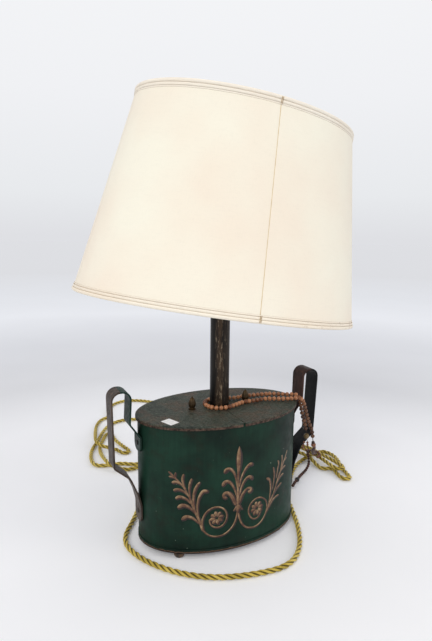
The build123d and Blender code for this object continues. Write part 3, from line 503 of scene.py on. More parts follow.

# %% [markdown]
# ## Japanned tin
# The can is tinplate under baked green paint: smooth, half glossy, with a little orange peel. A
# century of handling has browned it in clouds and chipped it in pale specks. Along the bottom seam a
# pale reddish brown band, partly rubbed metal and partly a painted highlight on the rim's bead, lies
# over black. These bands follow the height on the can.

# %% Green paint on the can
def painted_tin(name, dark, light, low_edge, lip):
    """Green paint on tin. Under the height low_edge, in metres, a band of that lip is pale reddish brown,
    partly rubbed tin and partly a painted highlight on the rim's bead, and it is black under that."""
    made, add, shader, where = finish(name, 0.48, grit=(2.2, 3, 0.55, 0.06, 0.5), Specular_IOR_Level=0.12)
    clouds = mottle(add, where, 60, 5, 0.55, (0.36, dark), (0.64, light))
    brushed = mottle(add, where, 3.2, 3, 0.55, (0.3, 0.86), (0.75, 1.08), stretch=(1, 1, 26))
    green = add("Mix", 1.0, clouds, brushed, **TIMES)
    browned = mottle(add, where, 24, 6, 0.7, (0.52, 0.0), (0.72, 0.65))
    green = add("Mix", browned, green, "1F1F17", **TINT)
    scuffs = mottle(add, where, 11, 6, 0.75, (0.64, 0.0), (0.75, 0.5), stretch=(3, 3, 1))
    green = add("Mix", scuffs, green, "0F1A16", **TINT)
    specks = mottle(add, where, 4.6, 2, 0.55, (0.755, 0.0), (0.775, 0.7))
    green = add("Mix", specks, green, "8FA38F", **TINT)
    height = add("SeparateXYZ", where).outputs["Z"]
    ragged = add("TexNoise", where, 1000 / 8, 6, 0.7)
    # a band that is partly rubbed tin and partly a painted highlight on the rim's bead, then black
    for edge, colour, share in ((low_edge, "6E5546", 0.85), (low_edge - lip, "120F0D", 0.95)):
        above = add("Math", height, edge, operation="SUBTRACT")
        scaled = add("Math", above, 160.0, ragged, operation="MULTIPLY_ADD")
        green = add(
            "Mix", add("ValToRGB", scaled, stops=[(0.44, share), (0.54, 0.0)]), green, colour, **TINT
        )
    fill(shader, Base_Color=green)
    fill(shader, Roughness=mottle(add, where, 14, 5, 0.55, (0.3, 0.38), (0.75, 0.58)))
    return made


wear(painted_tin("green_japanned_tin", "0E1F19", "19362A", 0.0, 0.01), "can_wall")
wear(painted_tin("green_tin_base_rim", "0E1F19", "163026", 0.0118, 0.0012), "base_rim")

# %% [markdown]
# ## Crackled lid
# The lid's paint has dried hard and crackled all over, and it has gone grey green and brown. Its rim
# is pale reddish brown, partly rubbed through and partly a painted highlight along its edge. A
# Voronoi texture's distance to the cells' edges gives the cracks, and the rim is found from how far
# out a point lies on the oval.

# %% Crackled paint on the lid
crackled, add, shader, where = finish("crackled_lid_paint", 0.55, Specular_IOR_Level=0.16)
patches = mottle(
    add, where, 30, 6, 0.7, (0.32, "262E29"), (0.47, "474F46"), (0.6, "51483D"), (0.74, "675A4C")
)
fine = mottle(add, where, 2.6, 5, 0.75, (0.3, 0.3), (0.72, 1.7))
patches = add("Mix", 1.0, patches, fine, **TIMES)
scraped = mottle(add, where, 5, 6, 0.8, (0.6, 0.0), (0.72, 0.6), stretch=(4, 1, 1))
patches = add("Mix", scraped, patches, "A09684", **TINT)
cells = add("TexVoronoi", where, Scale=1000 / 5.2, feature="DISTANCE_TO_EDGE")
cracks = add("ValToRGB", cells, stops=[(0.0, 1.0), (0.1, 0.0)])
patches = add("Mix", add("Math", cracks, 0.6, operation="MULTIPLY"), patches, "151411", **TINT)
lid_low, lid_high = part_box("lid")
oval = add("Mapping", where, Scale=(2 / (lid_high.x - lid_low.x), 2 / (lid_high.y - lid_low.y), 0))
outness = add("VectorMath", oval, operation="LENGTH")
# the rim's pale band is partly rubbed through and partly a painted highlight on the edge
ragged = add("TexNoise", where, 1000 / 7, 5, 0.7)
rubbed = add("Math", ragged, 0.08, outness, operation="MULTIPLY_ADD")
patches = add("Mix", add("ValToRGB", rubbed, stops=[(1.005, 0.0), (1.03, 0.9)]), patches, "95806F", **TINT)
below = add("SeparateXYZ", where).outputs["Z"]
skirt = add("Math", below, lid_high.z - 0.0016, operation="LESS_THAN")
skirt_tone = mottle(add, where, 6, 5, 0.7, (0.4, "241D18"), (0.62, "5E4B40"))
patches = add("Mix", skirt, patches, skirt_tone, **TINT)
fill(shader, Base_Color=patches)
grit = add("Math", fine, cracks, operation="SUBTRACT")
fill(shader, Normal=add("Bump", Height=grit, Distance=0.3 * MM, Strength=0.9))
wear(crackled, "lid")

# %% [markdown]
# ## Iron, bronze, brass and zinc
# Old iron is nearly black and dull, browned where it is handled. The stem was bronzed, and the paler
# streak down its front is partly worn bronzing and partly a painted highlight. Brass fittings have
# gone brown. All are metals under a skin of oxide, so their roughness is high and uneven.

# %% Old metal
def old_metal(name, dark, light, worn, roughness, metallic, size=18, stretch=(1, 1, 5), share=(0.55, 0.75)):
    """Two tones of oxide in patches of size millimetres, worn to a third on spots."""
    made, add, shader, where = finish(name, roughness, metallic, grit=(1.6, 4, 0.7, 0.12, 0.6))
    along = add("Mapping", where, Scale=[1 / s for s in stretch])
    skin = mottle(add, along, size, 6, 0.65, (0.35, dark), (0.65, light))
    rubbed = mottle(add, along, size * 0.45, 5, 0.75, (share[0], 0.0), (share[1], 0.75))
    fill(shader, Base_Color=add("Mix", rubbed, skin, worn, **TINT))
    uneven = mottle(add, where, size * 0.3, 4, 0.55, (0.3, roughness - 0.12), (0.7, roughness + 0.12))
    fill(shader, Roughness=uneven)
    return made

# %% The strap iron of the handles
OUTER_LEG = 13 * MM             # how deep it is, from the handle's outer side
INNER_LEG_FROM = 0.14           # and the height over which the inner leg lies


def strap_iron(name, outer, inner, worn, box, sign):
    """Two coats of paint on a handle: one on its outer leg and one on the short inner leg beside the
    can. sign is 1 for the left handle and -1 for the right one."""
    made = old_metal(name, outer[0], outer[1], worn, 0.5, 0.2, 14, (1, 1, 7))
    add = partial(node, made.node_tree)
    shader = made.node_tree.nodes["Principled BSDF"]
    fill(shader, Specular_IOR_Level=0.15)
    where = add("TexCoord").outputs["Object"]
    place = add("SeparateXYZ", where).outputs
    edge = box[0].x + OUTER_LEG if sign > 0 else box[1].x - OUTER_LEG
    within = add("Math", place[0], edge, operation="GREATER_THAN" if sign > 0 else "LESS_THAN")
    above = add("Math", place[2], INNER_LEG_FROM, operation="GREATER_THAN")
    share = add("Math", within, above, operation="MULTIPLY")
    inside = mottle(add, where, 12, 6, 0.7, (0.36, inner[0]), (0.64, inner[1]), stretch=(1, 1, 5))
    old = shader.inputs["Base Color"].links[0].from_socket
    fill(shader, Base_Color=add("Mix", share, old, inside, **TINT))
    return made


for side, sign, outer, inner, worn in (
    ("left", 1, ("2E2622", "52463E"), ("0F1D19", "1D382F"), "7E6A5C"),
    ("right", -1, ("0C0E11", "171A1D"), ("241814", "46302A"), "2A2A2B"),
):
    handle = "handle_" + side
    wear(strap_iron("strap_iron_" + side, outer, inner, worn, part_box(handle), sign), handle)

# %% The other metals
wear(old_metal("black_rivet_iron", "1B1A1A", "2E2723", "57483E", 0.5, 0.55), "handle_rivets")
wear(
    old_metal("worn_tin_seam", "1F1B17", "33291F", "8A6D55", 0.55, 0.35, 16, (1, 1, 1), (0.48, 0.62)),
    "can_bottom"
)
wear(
    old_metal("browned_brass", "2E251A", "4B3A25", "7D6540", 0.42, 0.8, 7, (1, 1, 2)), "acorn_nut_left",
    "acorn_nut_right", "stem_ferrule"
)
wear(
    old_metal("zinc_plated_steel", "8C8F90", "A7AAAA", "C3C5C4", 0.38, 0.95, 5), "foot_screws", "tie_rods",
    "tie_rod_nuts", "stem_nut", "stem_washer", "threaded_rod"
)
wear(
    old_metal("lamp_brass", "8A6A34", "A98443", "C7A35C", 0.34, 0.95, 9), "holder_cap", "holder_skirt",
    "shade_ring", "gimbal_ring", "gimbal_pivots", "pivot_spacers", "contact_plungers", "bulb_cap",
    "plug_pins", "plug_screw"
)
wear(
    old_metal("shade_wire_steel", "6E6A63", "8B8578", "A9A190", 0.42, 0.85, 9), "shade_carrier",
    "shade_bottom_wire", "shade_top_wire"
)

# %% Bronzed steel, with a paler streak down its front, partly worn and partly painted highlight
bronzed, add, shader, where = finish("bronzed_stem_steel", 0.4, 0.6)
skin = mottle(
    add, where, 13, 6, 0.6, (0.34, "0C0A09"), (0.55, "14110E"), (0.72, "241D17"), stretch=(1, 1, 7)
)
split = add("SeparateXYZ", where).outputs
wander = add(
    "Math", add("TexNoise", add("Mapping", where, Scale=(1, 1, 1 / 3)), 1000 / 30, 3, 0.5), 0.01, split[0],
    operation="MULTIPLY_ADD"
)
worn_and_highlight_streak = add(
    "ValToRGB", add("Math", wander, 100.0, 0.7, operation="MULTIPLY_ADD"),
    stops=[(0.0, 0.0), (0.35, 1.0), (0.9, 1.0), (1.0, 0.3)]
)
# the paler streak lies on the front, towards the camera: partly worn bronzing, partly a painted highlight
front = add("ValToRGB", add("Math", split[1], -60.0, operation="MULTIPLY"), stops=[(0.2, 0.0), (0.6, 1.0)])
worn_and_highlight_streak = add("Math", worn_and_highlight_streak, front, operation="MULTIPLY")
worn = mottle(add, where, 9, 6, 0.7, (0.38, "1F1711"), (0.62, "4A3A2A"), stretch=(1, 1, 4))
skin = add("Mix", worn_and_highlight_streak, skin, worn, **TINT)
scratches = mottle(add, where, 2.4, 6, 0.7, (0.55, 0.0), (0.66, 0.8), stretch=(1, 1, 6))
scratches = add("Math", worn_and_highlight_streak, scratches, operation="MULTIPLY")
fill(shader, Base_Color=add("Mix", scratches, skin, "A9977E", **TINT))
grit = add("TexNoise", add("Mapping", where, Scale=(1, 1, 1 / 3)), 1000 / 1.8, 5, 0.7)
fill(shader, Normal=add("Bump", Height=grit, Distance=0.2 * MM, Strength=0.7))
wear(bronzed, "stem_tube", "stem_cap")

# %% [markdown]
# ## Wood
# The feet are turned and stained dark, and the board inside is pine. Grain is a wave that runs along
# the piece and is bent by noise.

# %% Turned and sawn wood
def wood(name, dark, light, ring_mm, along, roughness):
    """Wood with year rings ring_mm apart. along is the axis that its grain follows."""
    made, add, shader, where = finish(name, roughness)
    long_way = add("Mapping", where, Scale=[1 / 6 if axis == along else 1 for axis in "XYZ"])
    bent = add("TexNoise", long_way, 1000 / (ring_mm * 4), 3, 0.5)
    rings = add(
        "TexWave", where, Scale=1000 / ring_mm / 20, Distortion=4.0, Detail=3.0, wave_type="BANDS",
        bands_direction="Z" if along != "Z" else "X"
    ).outputs["Fac"]
    mixed = add("Math", bent, 0.5, rings, operation="MULTIPLY_ADD")
    fill(shader, Base_Color=add("ValToRGB", mixed, stops=[(0.2, dark), (1.2, light)]))
    grit = add("TexNoise", long_way, 1000 / 0.8, 3, 0.6)
    fill(shader, Normal=add("Bump", Height=grit, Distance=0.08 * MM, Strength=0.6))
    return made


wear(
    wood("stained_turned_beech", "2A1F16", "57402B", 2, "Z", 0.5), "foot_front_left", "foot_front_right",
    "foot_back_left", "foot_back_right"
)
wear(wood("sawn_pine", "A97C4A", "D2AC78", 5, "X", 0.7), "base_board")

# %% The wood of the beads
def bead_wood(name, dark, light, roughness, hanging=0.3):
    """Polished wood whose shade changes from bead to bead, by the attribute that each bead carries.
    Under the lid it is darkened to the share hanging."""
    made, add, shader, where = finish(name, roughness, Specular_IOR_Level=0.35)
    own = add("Attribute", attribute_name="bead_tone").outputs["Fac"]
    figure = add("TexNoise", add("Mapping", where, Scale=(1, 1, 1 / 2)), 1000 / 1.6, 4, 0.6)
    mixed = add("Math", figure, 0.8, own, operation="MULTIPLY_ADD")
    wood = add("ValToRGB", mixed, stops=[(0.25, dark), (1.25, light)])
    height = add("SeparateXYZ", where).outputs["Z"]
    # darker under the height of the lid, by height alone
    below_lid_darkening = add(
        "ValToRGB", add("Math", height, 5.0, operation="MULTIPLY"), stops=[(0.9, hanging), (0.97, 1.0)]
    )
    wood = add("Mix", 1.0, wood, below_lid_darkening, **TIMES)
    fill(shader, Base_Color=wood)
    fill(shader, Normal=add("Bump", Height=figure, Distance=0.04 * MM, Strength=0.5))
    return made


brown_beads = bead_wood("polished_bead_wood", "4A2012", "B47C58", 0.3)
dark_beads = bead_wood("dark_bead_wood", "2A120C", "84442E", 0.3)
bunch_wood = bead_wood("bunch_bead_wood", "3E1C11", "8E5C42", 0.3, 0.75)
pale_bead = bead_wood("pale_bead_wood", "A88C5A", "C9AE78", 0.36)
wear(pale_bead, "guru_bead")
wear(bead_wood("black_bead_wood", "0D0B0A", "1C1714", 0.25), "black_bead")
wear(brown_beads, loop_beads)
wear(dark_beads, tail_beads)
for piece in bunch:
    wear(dark_beads if "thread" in piece.name else bunch_wood, piece)
waxed, add, shader, where = finish("waxed_thread", 0.7)
fill(shader, Base_Color=mottle(add, where, 1.5, 3, 0.55, (0.35, "1D120D"), (0.65, "38231A")))
for thread in (loop_thread, tail_thread):
    wear(waxed, thread)

# %% [markdown]
# ## Silk braid
# Each core has its own jacket of gold silk, braided of many thin threads. Where the cores touch, a
# painted shade darkens their inner sides to olive brown. Two sets of slanting waves on the strand's
# own UV map cross each other as braided threads do. The real threads are about 0.4 mm wide; they are
# drawn 1.1 mm wide, so that they show.

# %% Gold silk braid
silk, add, shader, where = finish(
    "gold_silk_braid", 0.45, Sheen_Weight=0.08, Sheen_Roughness=0.4, Specular_IOR_Level=0.3
)
uv = add("UVMap", uv_map="UVMap")
THREAD = 1.1
slants = []
for sign in (1, -1):
    turned = add("Mapping", uv, Scale=(4 * sign, 1000 / THREAD / 2, 1))
    parts = add("SeparateXYZ", turned).outputs
    slanted = add("Math", parts[0], parts[1], operation="ADD")
    full = add("Math", slanted, 2 * math.pi, operation="MULTIPLY")
    slants.append(add("Math", full, operation="SINE"))
braid = add("Math", slants[0], slants[1], operation="MULTIPLY")
braid = add("Math", braid, 0.5, 0.5, operation="MULTIPLY_ADD")
tint = mottle(add, where, 45, 4, 0.55, (0.36, "B29C3A"), (0.5, "D0B64C"), (0.64, "DFC968"))
threads = add("ValToRGB", braid, stops=[(0.1, 0.6), (0.75, 1.1)])
tint = add("Mix", 1.0, tint, threads, **TIMES)
# painted shade: the inner side of each strand, where the cores touch, is darkened to olive brown
around = add("Math", add("SeparateXYZ", uv).outputs["X"], 2 * math.pi, operation="MULTIPLY")
crown = add("Math", around, operation="COSINE")
valley_shade = add("ValToRGB", crown, stops=[(0.1, 0.8), (0.41, 0.2), (0.72, 0.0)])
tint = add("Mix", valley_shade, tint, "43350F", **TINT)
fill(shader, Base_Color=tint)
fill(shader, Normal=add("Bump", Height=braid, Distance=0.25 * MM, Strength=0.8))
wear(silk, flex)
inner, add, shader, where = finish("braid_inside_the_can", 0.6, Sheen_Weight=0.3)
slant = add("Mapping", where, Rotation=(0.5, 0.5, 0.8))
twill = add("TexWave", slant, Scale=1000 / 1.4 / 20, Distortion=0.5).outputs["Fac"]
fill(shader, Base_Color=add("ValToRGB", twill, stops=[(0.2, "6E5A18"), (0.8, "D2B446")]))
fill(shader, Normal=add("Bump", Height=twill, Distance=0.2 * MM, Strength=0.7))
wear(inner, "internal_flex")

# %% [markdown]
# ## Mouldings and glass
# The lampholder's insulator and the cord's sleeve are black, the plug is white thermoset plastic
# with a faint orange peel, the fuse is glazed ceramic, and the bulb is clear glass.

# %% Plastic, rubber, ceramic and glass
def moulded(name, colour, deeper, roughness):
    """A smooth moulding or casting whose colour drifts a little."""
    made, add, shader, where = finish(name, roughness, grit=(1.2, 3, 0.55, 0.03, 0.5))
    fill(shader, Base_Color=mottle(add, where, 25, 4, 0.55, (0.3, deeper), (0.7, colour)))
    return made


wear(moulded("black_phenolic", "1A1716", "100E0E", 0.35), "switch_block", "switch_bar")
wear(moulded("black_sleeve_rubber", "1C1B1A", "121110", 0.6), "cord_gland", "cord_sleeve")
wear(moulded("white_plug_plastic", "EFEDE6", "E4E0D4", 0.32), "plug_cover", "plug_base")
wear(moulded("glazed_ceramic", "E9E3D3", "D8D0BC", 0.25), "plug_fuse")
glass, add, shader, where = finish("clear_bulb_glass", 0.02, Transmission_Weight=1.0, IOR=1.5)
fill(shader, Base_Color=mottle(add, where, 40, 2, 0.55, (0.3, 0.96), (0.7, 1.0)))
wear(glass, "bulb_glass")
wear(moulded("lamp_mount_glass", "C9CCC8", "AEB2AF", 0.15), "bulb_filament")

# %% [markdown]
# ## Painted ornament
# The gold ornament is a traditional one: a palmette between two scrolls that end in rosettes, and
# two leafy sprays. It is painted with a loaded brush, so each stroke starts thin, swells and ends
# round, and stands a little proud. Each stroke is a curve whose radius follows the brush. The curves
# are drawn flat, as distance round the can and height, turned to a mesh, flattened, and then laid on
# the can. A wider, darker copy under each stroke gives the umber shadow that the painter put first.

# %% Laying a flat drawing on the can
low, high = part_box("can_wall")
HALF_LONG, HALF_WIDE = high.x, -low.y
turns = np.linspace(-math.pi / 2, math.pi / 2, 2001)
oval = np.stack([HALF_LONG * np.sin(turns), -HALF_WIDE * np.cos(turns)], axis=1)
walked = reached(oval)
walked -= walked[len(walked) // 2]


def lay_on_can(piece, sink):
    """Turns X into distance round the front of the can, and keeps Y, made sink times as deep, as height
    over the paint."""
    for corner in piece.data.vertices:
        turn = np.interp(corner.co.x, walked, turns)
        spot = Vector((HALF_LONG * math.sin(turn), -HALF_WIDE * math.cos(turn), 0))
        out = Vector((math.sin(turn) / HALF_LONG, -math.cos(turn) / HALF_WIDE, 0)).normalized()
        corner.co = spot + out * (-corner.co.y * sink) + Vector((0, 0, corner.co.z))

# %% The strokes
# Each gives its half widths from start to end, then its spots as (distance round the can, height),
# all in millimetres.
palmette = [
    ((0.2, 2.6, 3.6, 3.4, 2.4, 1.4, 1.2, 1.6, 3.2), (-6, 160), (-6.2, 152), (-6.4, 144), (-6.4, 136),
     (-6.5, 128), (-6.8, 119), (-6.9, 106), (-6.8, 92), (-6.3, 76)),
    ((0.9, 1.6, 2.7), (-8, 100), (-9.6, 112), (-12.6, 122), (-18, 129.6), (-24, 130), (-26.4, 127)),
    ((0.9, 1.4, 2.5), (-5, 100), (-2.6, 113), (1.5, 121.6), (7, 128.6), (11.6, 131), (14.2, 130.4)),
    ((1.0, 1.7, 2.5), (-8.4, 86), (-11, 96), (-16.4, 107), (-22, 112.4), (-27, 111.6), (-29.2, 108)),
    ((1.0, 1.5, 2.4), (-4.6, 86), (-2.4, 98), (2, 107.4), (7.4, 112.2), (12, 112.6), (14.8, 109.4)),
    ((2.6, 2.2, 2.0), (-10.4, 76), (-14.6, 86), (-19.4, 93.4), (-24.6, 95.6), (-28.4, 93.6), (-27.8, 89),
     (-25, 88)),
    ((1.8, 1.6, 2.3), (-4, 77), (-1.4, 86), (3.4, 92.6), (8.6, 96), (14, 94.6), (14.4, 90.4), (10.8, 90)),
    ((0.8, 1.8, 3.0), (-13, 66.6), (-10, 69), (-8, 70.6)),
    ((3.0, 1.8, 0.8), (-4.8, 70.6), (-3, 69), (0.4, 66)),
    ((3.0, 3.4, 2.2), (-6.5, 72.6), (-6.5, 69), (-6.5, 64))
]
scrolls = [
    ((1.2, 0.95, 1.2), (-7.4, 63), (-8.6, 54.6), (-12.6, 45), (-19, 37.8), (-28.6, 32.4), (-39, 31.6),
     (-48.6, 34.8), (-55.4, 41), (-58.6, 48), (-58.2, 59)),
    ((1.2, 1.0, 1.0), (-58.2, 50), (-58, 59), (-54.8, 67), (-49.6, 72.6), (-42.4, 76.2), (-34.6, 76),
     (-27.8, 72.6), (-23.6, 66), (-22.8, 58.6), (-25.4, 51), (-31, 46), (-37.6, 45.2), (-43.4, 47.4),
     (-47.2, 52), (-48, 58)),
    ((1.2, 0.9, 1.0), (-5.6, 62), (-3.8, 52), (0.6, 42.8), (7.4, 36.2), (15.6, 33.4), (24, 33),
     (32.4, 36.4), (38.6, 42), (43.2, 50.4), (44.4, 58.6), (42.8, 65.6), (38.4, 71.8), (31, 76.2),
     (23.4, 76.6), (16.4, 73.2), (11.4, 67.2), (10.2, 59.4), (13, 51.6), (18.8, 45.8), (25.4, 45),
     (30.6, 49), (32.6, 56))
]
sprays = [
    ((2.0, 1.6, 1.0), (-57.4, 44), (-59.6, 52), (-63.2, 61), (-68.6, 73), (-72.6, 85), (-75.6, 93),
     (-79.4, 100)),
    ((1.1, 1.0, 1.4), (-79, 99), (-82.6, 106), (-87, 112), (-92.4, 117.4), (-97.2, 122), (-103.4, 128)),
    ((1.0, 2.0, 2.4), (-62.6, 54), (-68.8, 61), (-75, 64.4), (-81, 64.6), (-84.6, 61)),
    ((1.0, 2.1, 2.7), (-67.6, 69), (-73, 76), (-79.6, 80.6), (-85.4, 81.4), (-89.8, 78.4)),
    ((1.0, 1.8, 2.1), (-73.6, 83.6), (-78.6, 89.8), (-84.4, 92.8), (-89.8, 93.6), (-93.2, 91.4)),
    ((0.9, 1.7, 2.0), (-77, 94.6), (-82.2, 100.6), (-87.8, 103.6), (-92.6, 104.2), (-96, 102.8)),
    ((0.9, 1.6, 1.8), (-80.8, 105.6), (-86, 111.2), (-91.4, 114.2), (-95.4, 114.8), (-98.4, 113.8)),
    ((0.9, 1.5, 2.5), (-63, 62), (-65.4, 76), (-64, 88.6), (-60.6, 97.4), (-56.4, 101.8), (-52.6, 101)),
    ((0.9, 1.7, 1.6), (-68.4, 74), (-70.4, 88), (-69.8, 99.4), (-66.8, 108), (-62.4, 113.6)),
    ((0.8, 1.5, 1.3), (-74.6, 92), (-76, 102), (-75.8, 110.4), (-74.4, 116), (-73, 119)),
    ((0.8, 1.6, 1.3), (-81, 103), (-83.6, 110.6), (-85.4, 117.6), (-85.2, 121.6), (-83.8, 125.4)),
    ((0.8, 1.1, 1.2), (-90, 115.6), (-95, 120), (-99, 121.4), (-103, 121.6)),
    ((0.7, 1.0, 1.0), (-92, 117.4), (-95.4, 121), (-95.6, 124), (-94.6, 127.4)),
    ((1.6, 1.3, 0.8), (44, 50), (48.4, 59.4), (52.4, 65.4), (57, 71.4), (60.8, 79.4), (65, 89.4),
     (71, 99.8), (77.6, 110), (84.8, 120), (90.4, 129.4)),
    ((0.9, 1.3, 1.8), (48, 57), (49.4, 70), (51, 80.4), (50.6, 90), (48, 98.4), (43.4, 101)),
    ((0.8, 1.0, 1.4), (54.6, 80), (57.4, 93), (58.6, 104), (55.6, 113.4)),
    ((0.8, 1.0, 1.2), (63, 96), (65.6, 109), (68.2, 117), (66, 121)),
    ((0.7, 0.9, 1.1), (73, 106), (76.8, 118), (75.6, 126)),
    ((0.9, 1.3, 1.2), (46.6, 53), (55, 63), (62.6, 66.6), (69, 66.4)),
    ((0.8, 1.2, 1.3), (57, 71.6), (65.2, 79.4), (75, 83)),
    ((0.8, 1.1, 1.2), (62.6, 85), (71.2, 94), (80, 96.2)),
    ((0.7, 1.0, 1.1), (68.4, 99), (76, 105.2), (85.2, 107)),
    ((0.7, 0.9, 1.0), (75, 109.6), (81, 116), (88.8, 118.2))
]


def rosette(middle, height, inner, outer):
    """Eight petals round a middle."""
    petals = []
    for k in range(8):
        turn = k * math.pi / 4 + 0.2
        c, s = math.cos(turn), math.sin(turn)
        spots = [(middle + c * r, height + s * r) for r in (inner, (inner + outer) / 2, outer)]
        petals.append([(1.2, 2.2, 2.7), *spots])
    return petals


rosettes = rosette(-37.8, 60, 3.2, 7.3) + rosette(25.0, 60.8, 3.4, 8.0)

# %% Drawing the strokes
def painted(name, strokes, widen, shift, sink):
    """One piece for many strokes. Each stroke is a NURBS spline with round ends."""
    curve = bpy.data.curves.new(name, "CURVE")
    curve.dimensions = "3D"
    curve.bevel_depth = 1 * MM
    curve.bevel_resolution = 2
    curve.use_fill_caps = True
    for widths, *spots in strokes:
        spots = [Vector((x + shift[0], 0, z + shift[1])) for x, z in spots]
        start, end = (spots[0] - spots[1]).normalized(), (spots[-1] - spots[-2]).normalized()
        steps = np.linspace(0, 1, len(spots))
        brush = np.interp(steps, np.linspace(0, 1, len(widths)), widths) * widen
        spots = [spots[0] + start * brush[0] * 0.8] + spots + [spots[-1] + end * brush[-1] * 0.8]
        brush = [brush[0] * 0.35, *brush, brush[-1] * 0.35]
        spline = curve.splines.new("NURBS")
        spline.points.add(len(spots) - 1)
        for control, spot, width in zip(spline.points, spots, brush):
            control.co = (*(spot * MM), 1)
            control.radius = width
        spline.order_u = 3
        spline.use_endpoint_u = True
        spline.resolution_u = 5
    pick(placed(name, curve))
    bpy.ops.object.convert(target="MESH")
    piece = bpy.context.object
    outwards(piece)
    # lit_side: how much each corner faces up and to the left, towards the light, for a painted highlight
    mark(piece, "lit_side", [v.normal.z * 0.8 - v.normal.x * 0.6 for v in piece.data.vertices])
    lay_on_can(piece, sink)
    bpy.ops.object.shade_smooth()
    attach(piece, "base")
    print(name, "has", len(strokes), "strokes and", len(piece.data.polygons), "faces")
    return piece


strokes = palmette + scrolls + sprays + rosettes
gold_ornament = painted("gold_ornament", strokes, 1.08, (0, 0), 0.14)
umber_shadow = painted("umber_shadow", strokes, 1.6, (0.8, -0.8), 0.05)

# %% Bronze paint and its shadow
bronze_paint, add, shader, where = finish("bronze_powder_paint", 0.48, 0.25, (1.1, 3, 0.55, 0.06, 0.7))
# painted light and shade: each stroke is lighter on its side towards the light and darker on the other
side = add("Attribute", attribute_name="lit_side").outputs["Fac"]
lit = add("Math", side, 0.16, add("TexNoise", where, 1000 / 11, 5, 0.7), operation="MULTIPLY_ADD")
body = add("ValToRGB", lit, stops=[(0.32, "3A1E15"), (0.45, "644532"), (0.57, "82664A"), (0.72, "AA9070")])
worn_through = mottle(add, where, 3.2, 4, 0.7, (0.58, 0.0), (0.7, 0.7))
fill(shader, Base_Color=add("Mix", worn_through, body, "6B4736", **TINT))
wear(bronze_paint, gold_ornament)
umber, add, shader, where = finish("umber_paint", 0.5)
fill(shader, Base_Color=mottle(add, where, 7, 4, 0.55, (0.35, "150D0A"), (0.65, "2E140D")))
wear(umber, umber_shadow)

# %% [markdown]
# ## A blank label
# A small white sticker lies on the lid, a little lifted at one corner. It is a plane cut into a
# grid, so that the corner can curl, and Solidify gives it the thickness of paper.

# %% The label
LABEL_LONG, LABEL_WIDE = 21 * MM, 15.3 * MM
bpy.ops.mesh.primitive_grid_add(x_subdivisions=14, y_subdivisions=10, size=1)
label = bpy.context.object
label.name = "blank_label"
label.data.transform(Matrix.Diagonal((LABEL_LONG, LABEL_WIDE, 1, 1)))
for corner in label.data.vertices:          # one of its corners lifts off the lid
    lift = max(0, corner.co.x / (10.5 * MM) + corner.co.y / (7.6 * MM) - 1.35)
    corner.co.z = 0.9 * MM * lift ** 2 + 0.06 * MM
label.location = (-0.0913, -0.0355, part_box("lid")[1].z)
label.rotation_euler.z = math.radians(-68.8)
settle(label)
sheet = label.modifiers.new("paper", "SOLIDIFY")
sheet.thickness = 0.12 * MM
sheet.offset = 1
bpy.ops.object.modifier_apply(modifier="paper")
paper_label, add, shader, where = finish("white_label_paper", 0.55, grit=(0.5, 3, 0.55, 0.02, 0.4))
fill(shader, Base_Color=mottle(add, where, 6, 3, 0.55, (0.3, "E6E8EC"), (0.6, "F7F8FA")))
wear(paper_label, label)
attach(label, "base")

# %% [markdown]
# ## Shade
# The shade is card laminated with a fine cream cloth, so it is matt, with a thread that only shows
# close by. Its colour drifts from ivory to a faint pink. Both rims are bound with folded ribbon: a
# full roll round the wire and a flatter one under it. The card's two ends overlap in one seam at the
# front, marked by a fine tan line that is partly old glue and partly painted shadow of the overlap.

# %% The shade's own place and size
GIMBAL = (0, 0, 0.3563)
SWIVEL, LEAN = math.radians(-4.81), math.radians(8.62)
tilt = Matrix.Translation(GIMBAL) @ Matrix.Rotation(SWIVEL, 4, "Z") @ Matrix.Rotation(LEAN, 4, "Y")
SHADE_HEIGHT = 268.4            # millimetres, as the next three
SHADE_DROP = 14.3               # from the gimbal to the lower edge
BOTTOM_HALF = (205.9, 149.4)    # half length and half width
TOP_HALF = (156.9, 107.8)


def shade_oval(height, outset=0.0):
    """Half length, half width and local height, in metres, of the shade's oval at a height in
    millimetres over its lower edge."""
    share = height / SHADE_HEIGHT
    halves = [low + (high - low) * share + outset for low, high in zip(BOTTOM_HALF, TOP_HALF)]
    return halves[0] * MM, halves[1] * MM, (height - SHADE_DROP) * MM

# %% Rolled ribbon on the rims
def ribbon_roll(name, height, outset, radius, flat, open_side):
    """A roll of ribbon right round the shade. flat squeezes it against the card. fold_depth is one in
    the folds beside it and nought on its crown and on its open side, which is 1 for its top, -1 for
    its underside and 0 for neither."""
    long, wide, up = shade_oval(height, outset)
    bpy.ops.mesh.primitive_torus_add(
        major_segments=160, minor_segments=20, major_radius=1.0, minor_radius=0.01
    )
    roll = bpy.context.object
    roll.name = name
    depth = []
    for corner in roll.data.vertices:
        flat_reach = math.hypot(corner.co.x, corner.co.y)
        c, s = corner.co.x / flat_reach, corner.co.y / flat_reach
        depth.append(0 if corner.co.z * open_side > 0 else 1 - abs(flat_reach - 1) * 100)
        out = Vector((c / long, s / wide)).normalized() * (flat_reach - 1) * 100 * radius * flat * MM
        corner.co = (c * long + out.x, s * wide + out.y, up + corner.co.z * 100 * radius * MM)
    mark(roll, "fold_depth", depth)
    roll.data.transform(tilt)
    return roll


def binding(name, rolls, replaced):
    """Joins one rim's rolls to a piece that stands in for the node replaced."""
    piece, *others = [ribbon_roll(name + "_" + str(k), *roll) for k, roll in enumerate(rolls)]
    pick(piece)
    for other in others:
        other.select_set(True)
    bpy.ops.object.join()
    piece.name = name
    outwards(piece)
    bpy.ops.object.shade_smooth()
    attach(piece, "shade")
    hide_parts(replaced)
    return piece


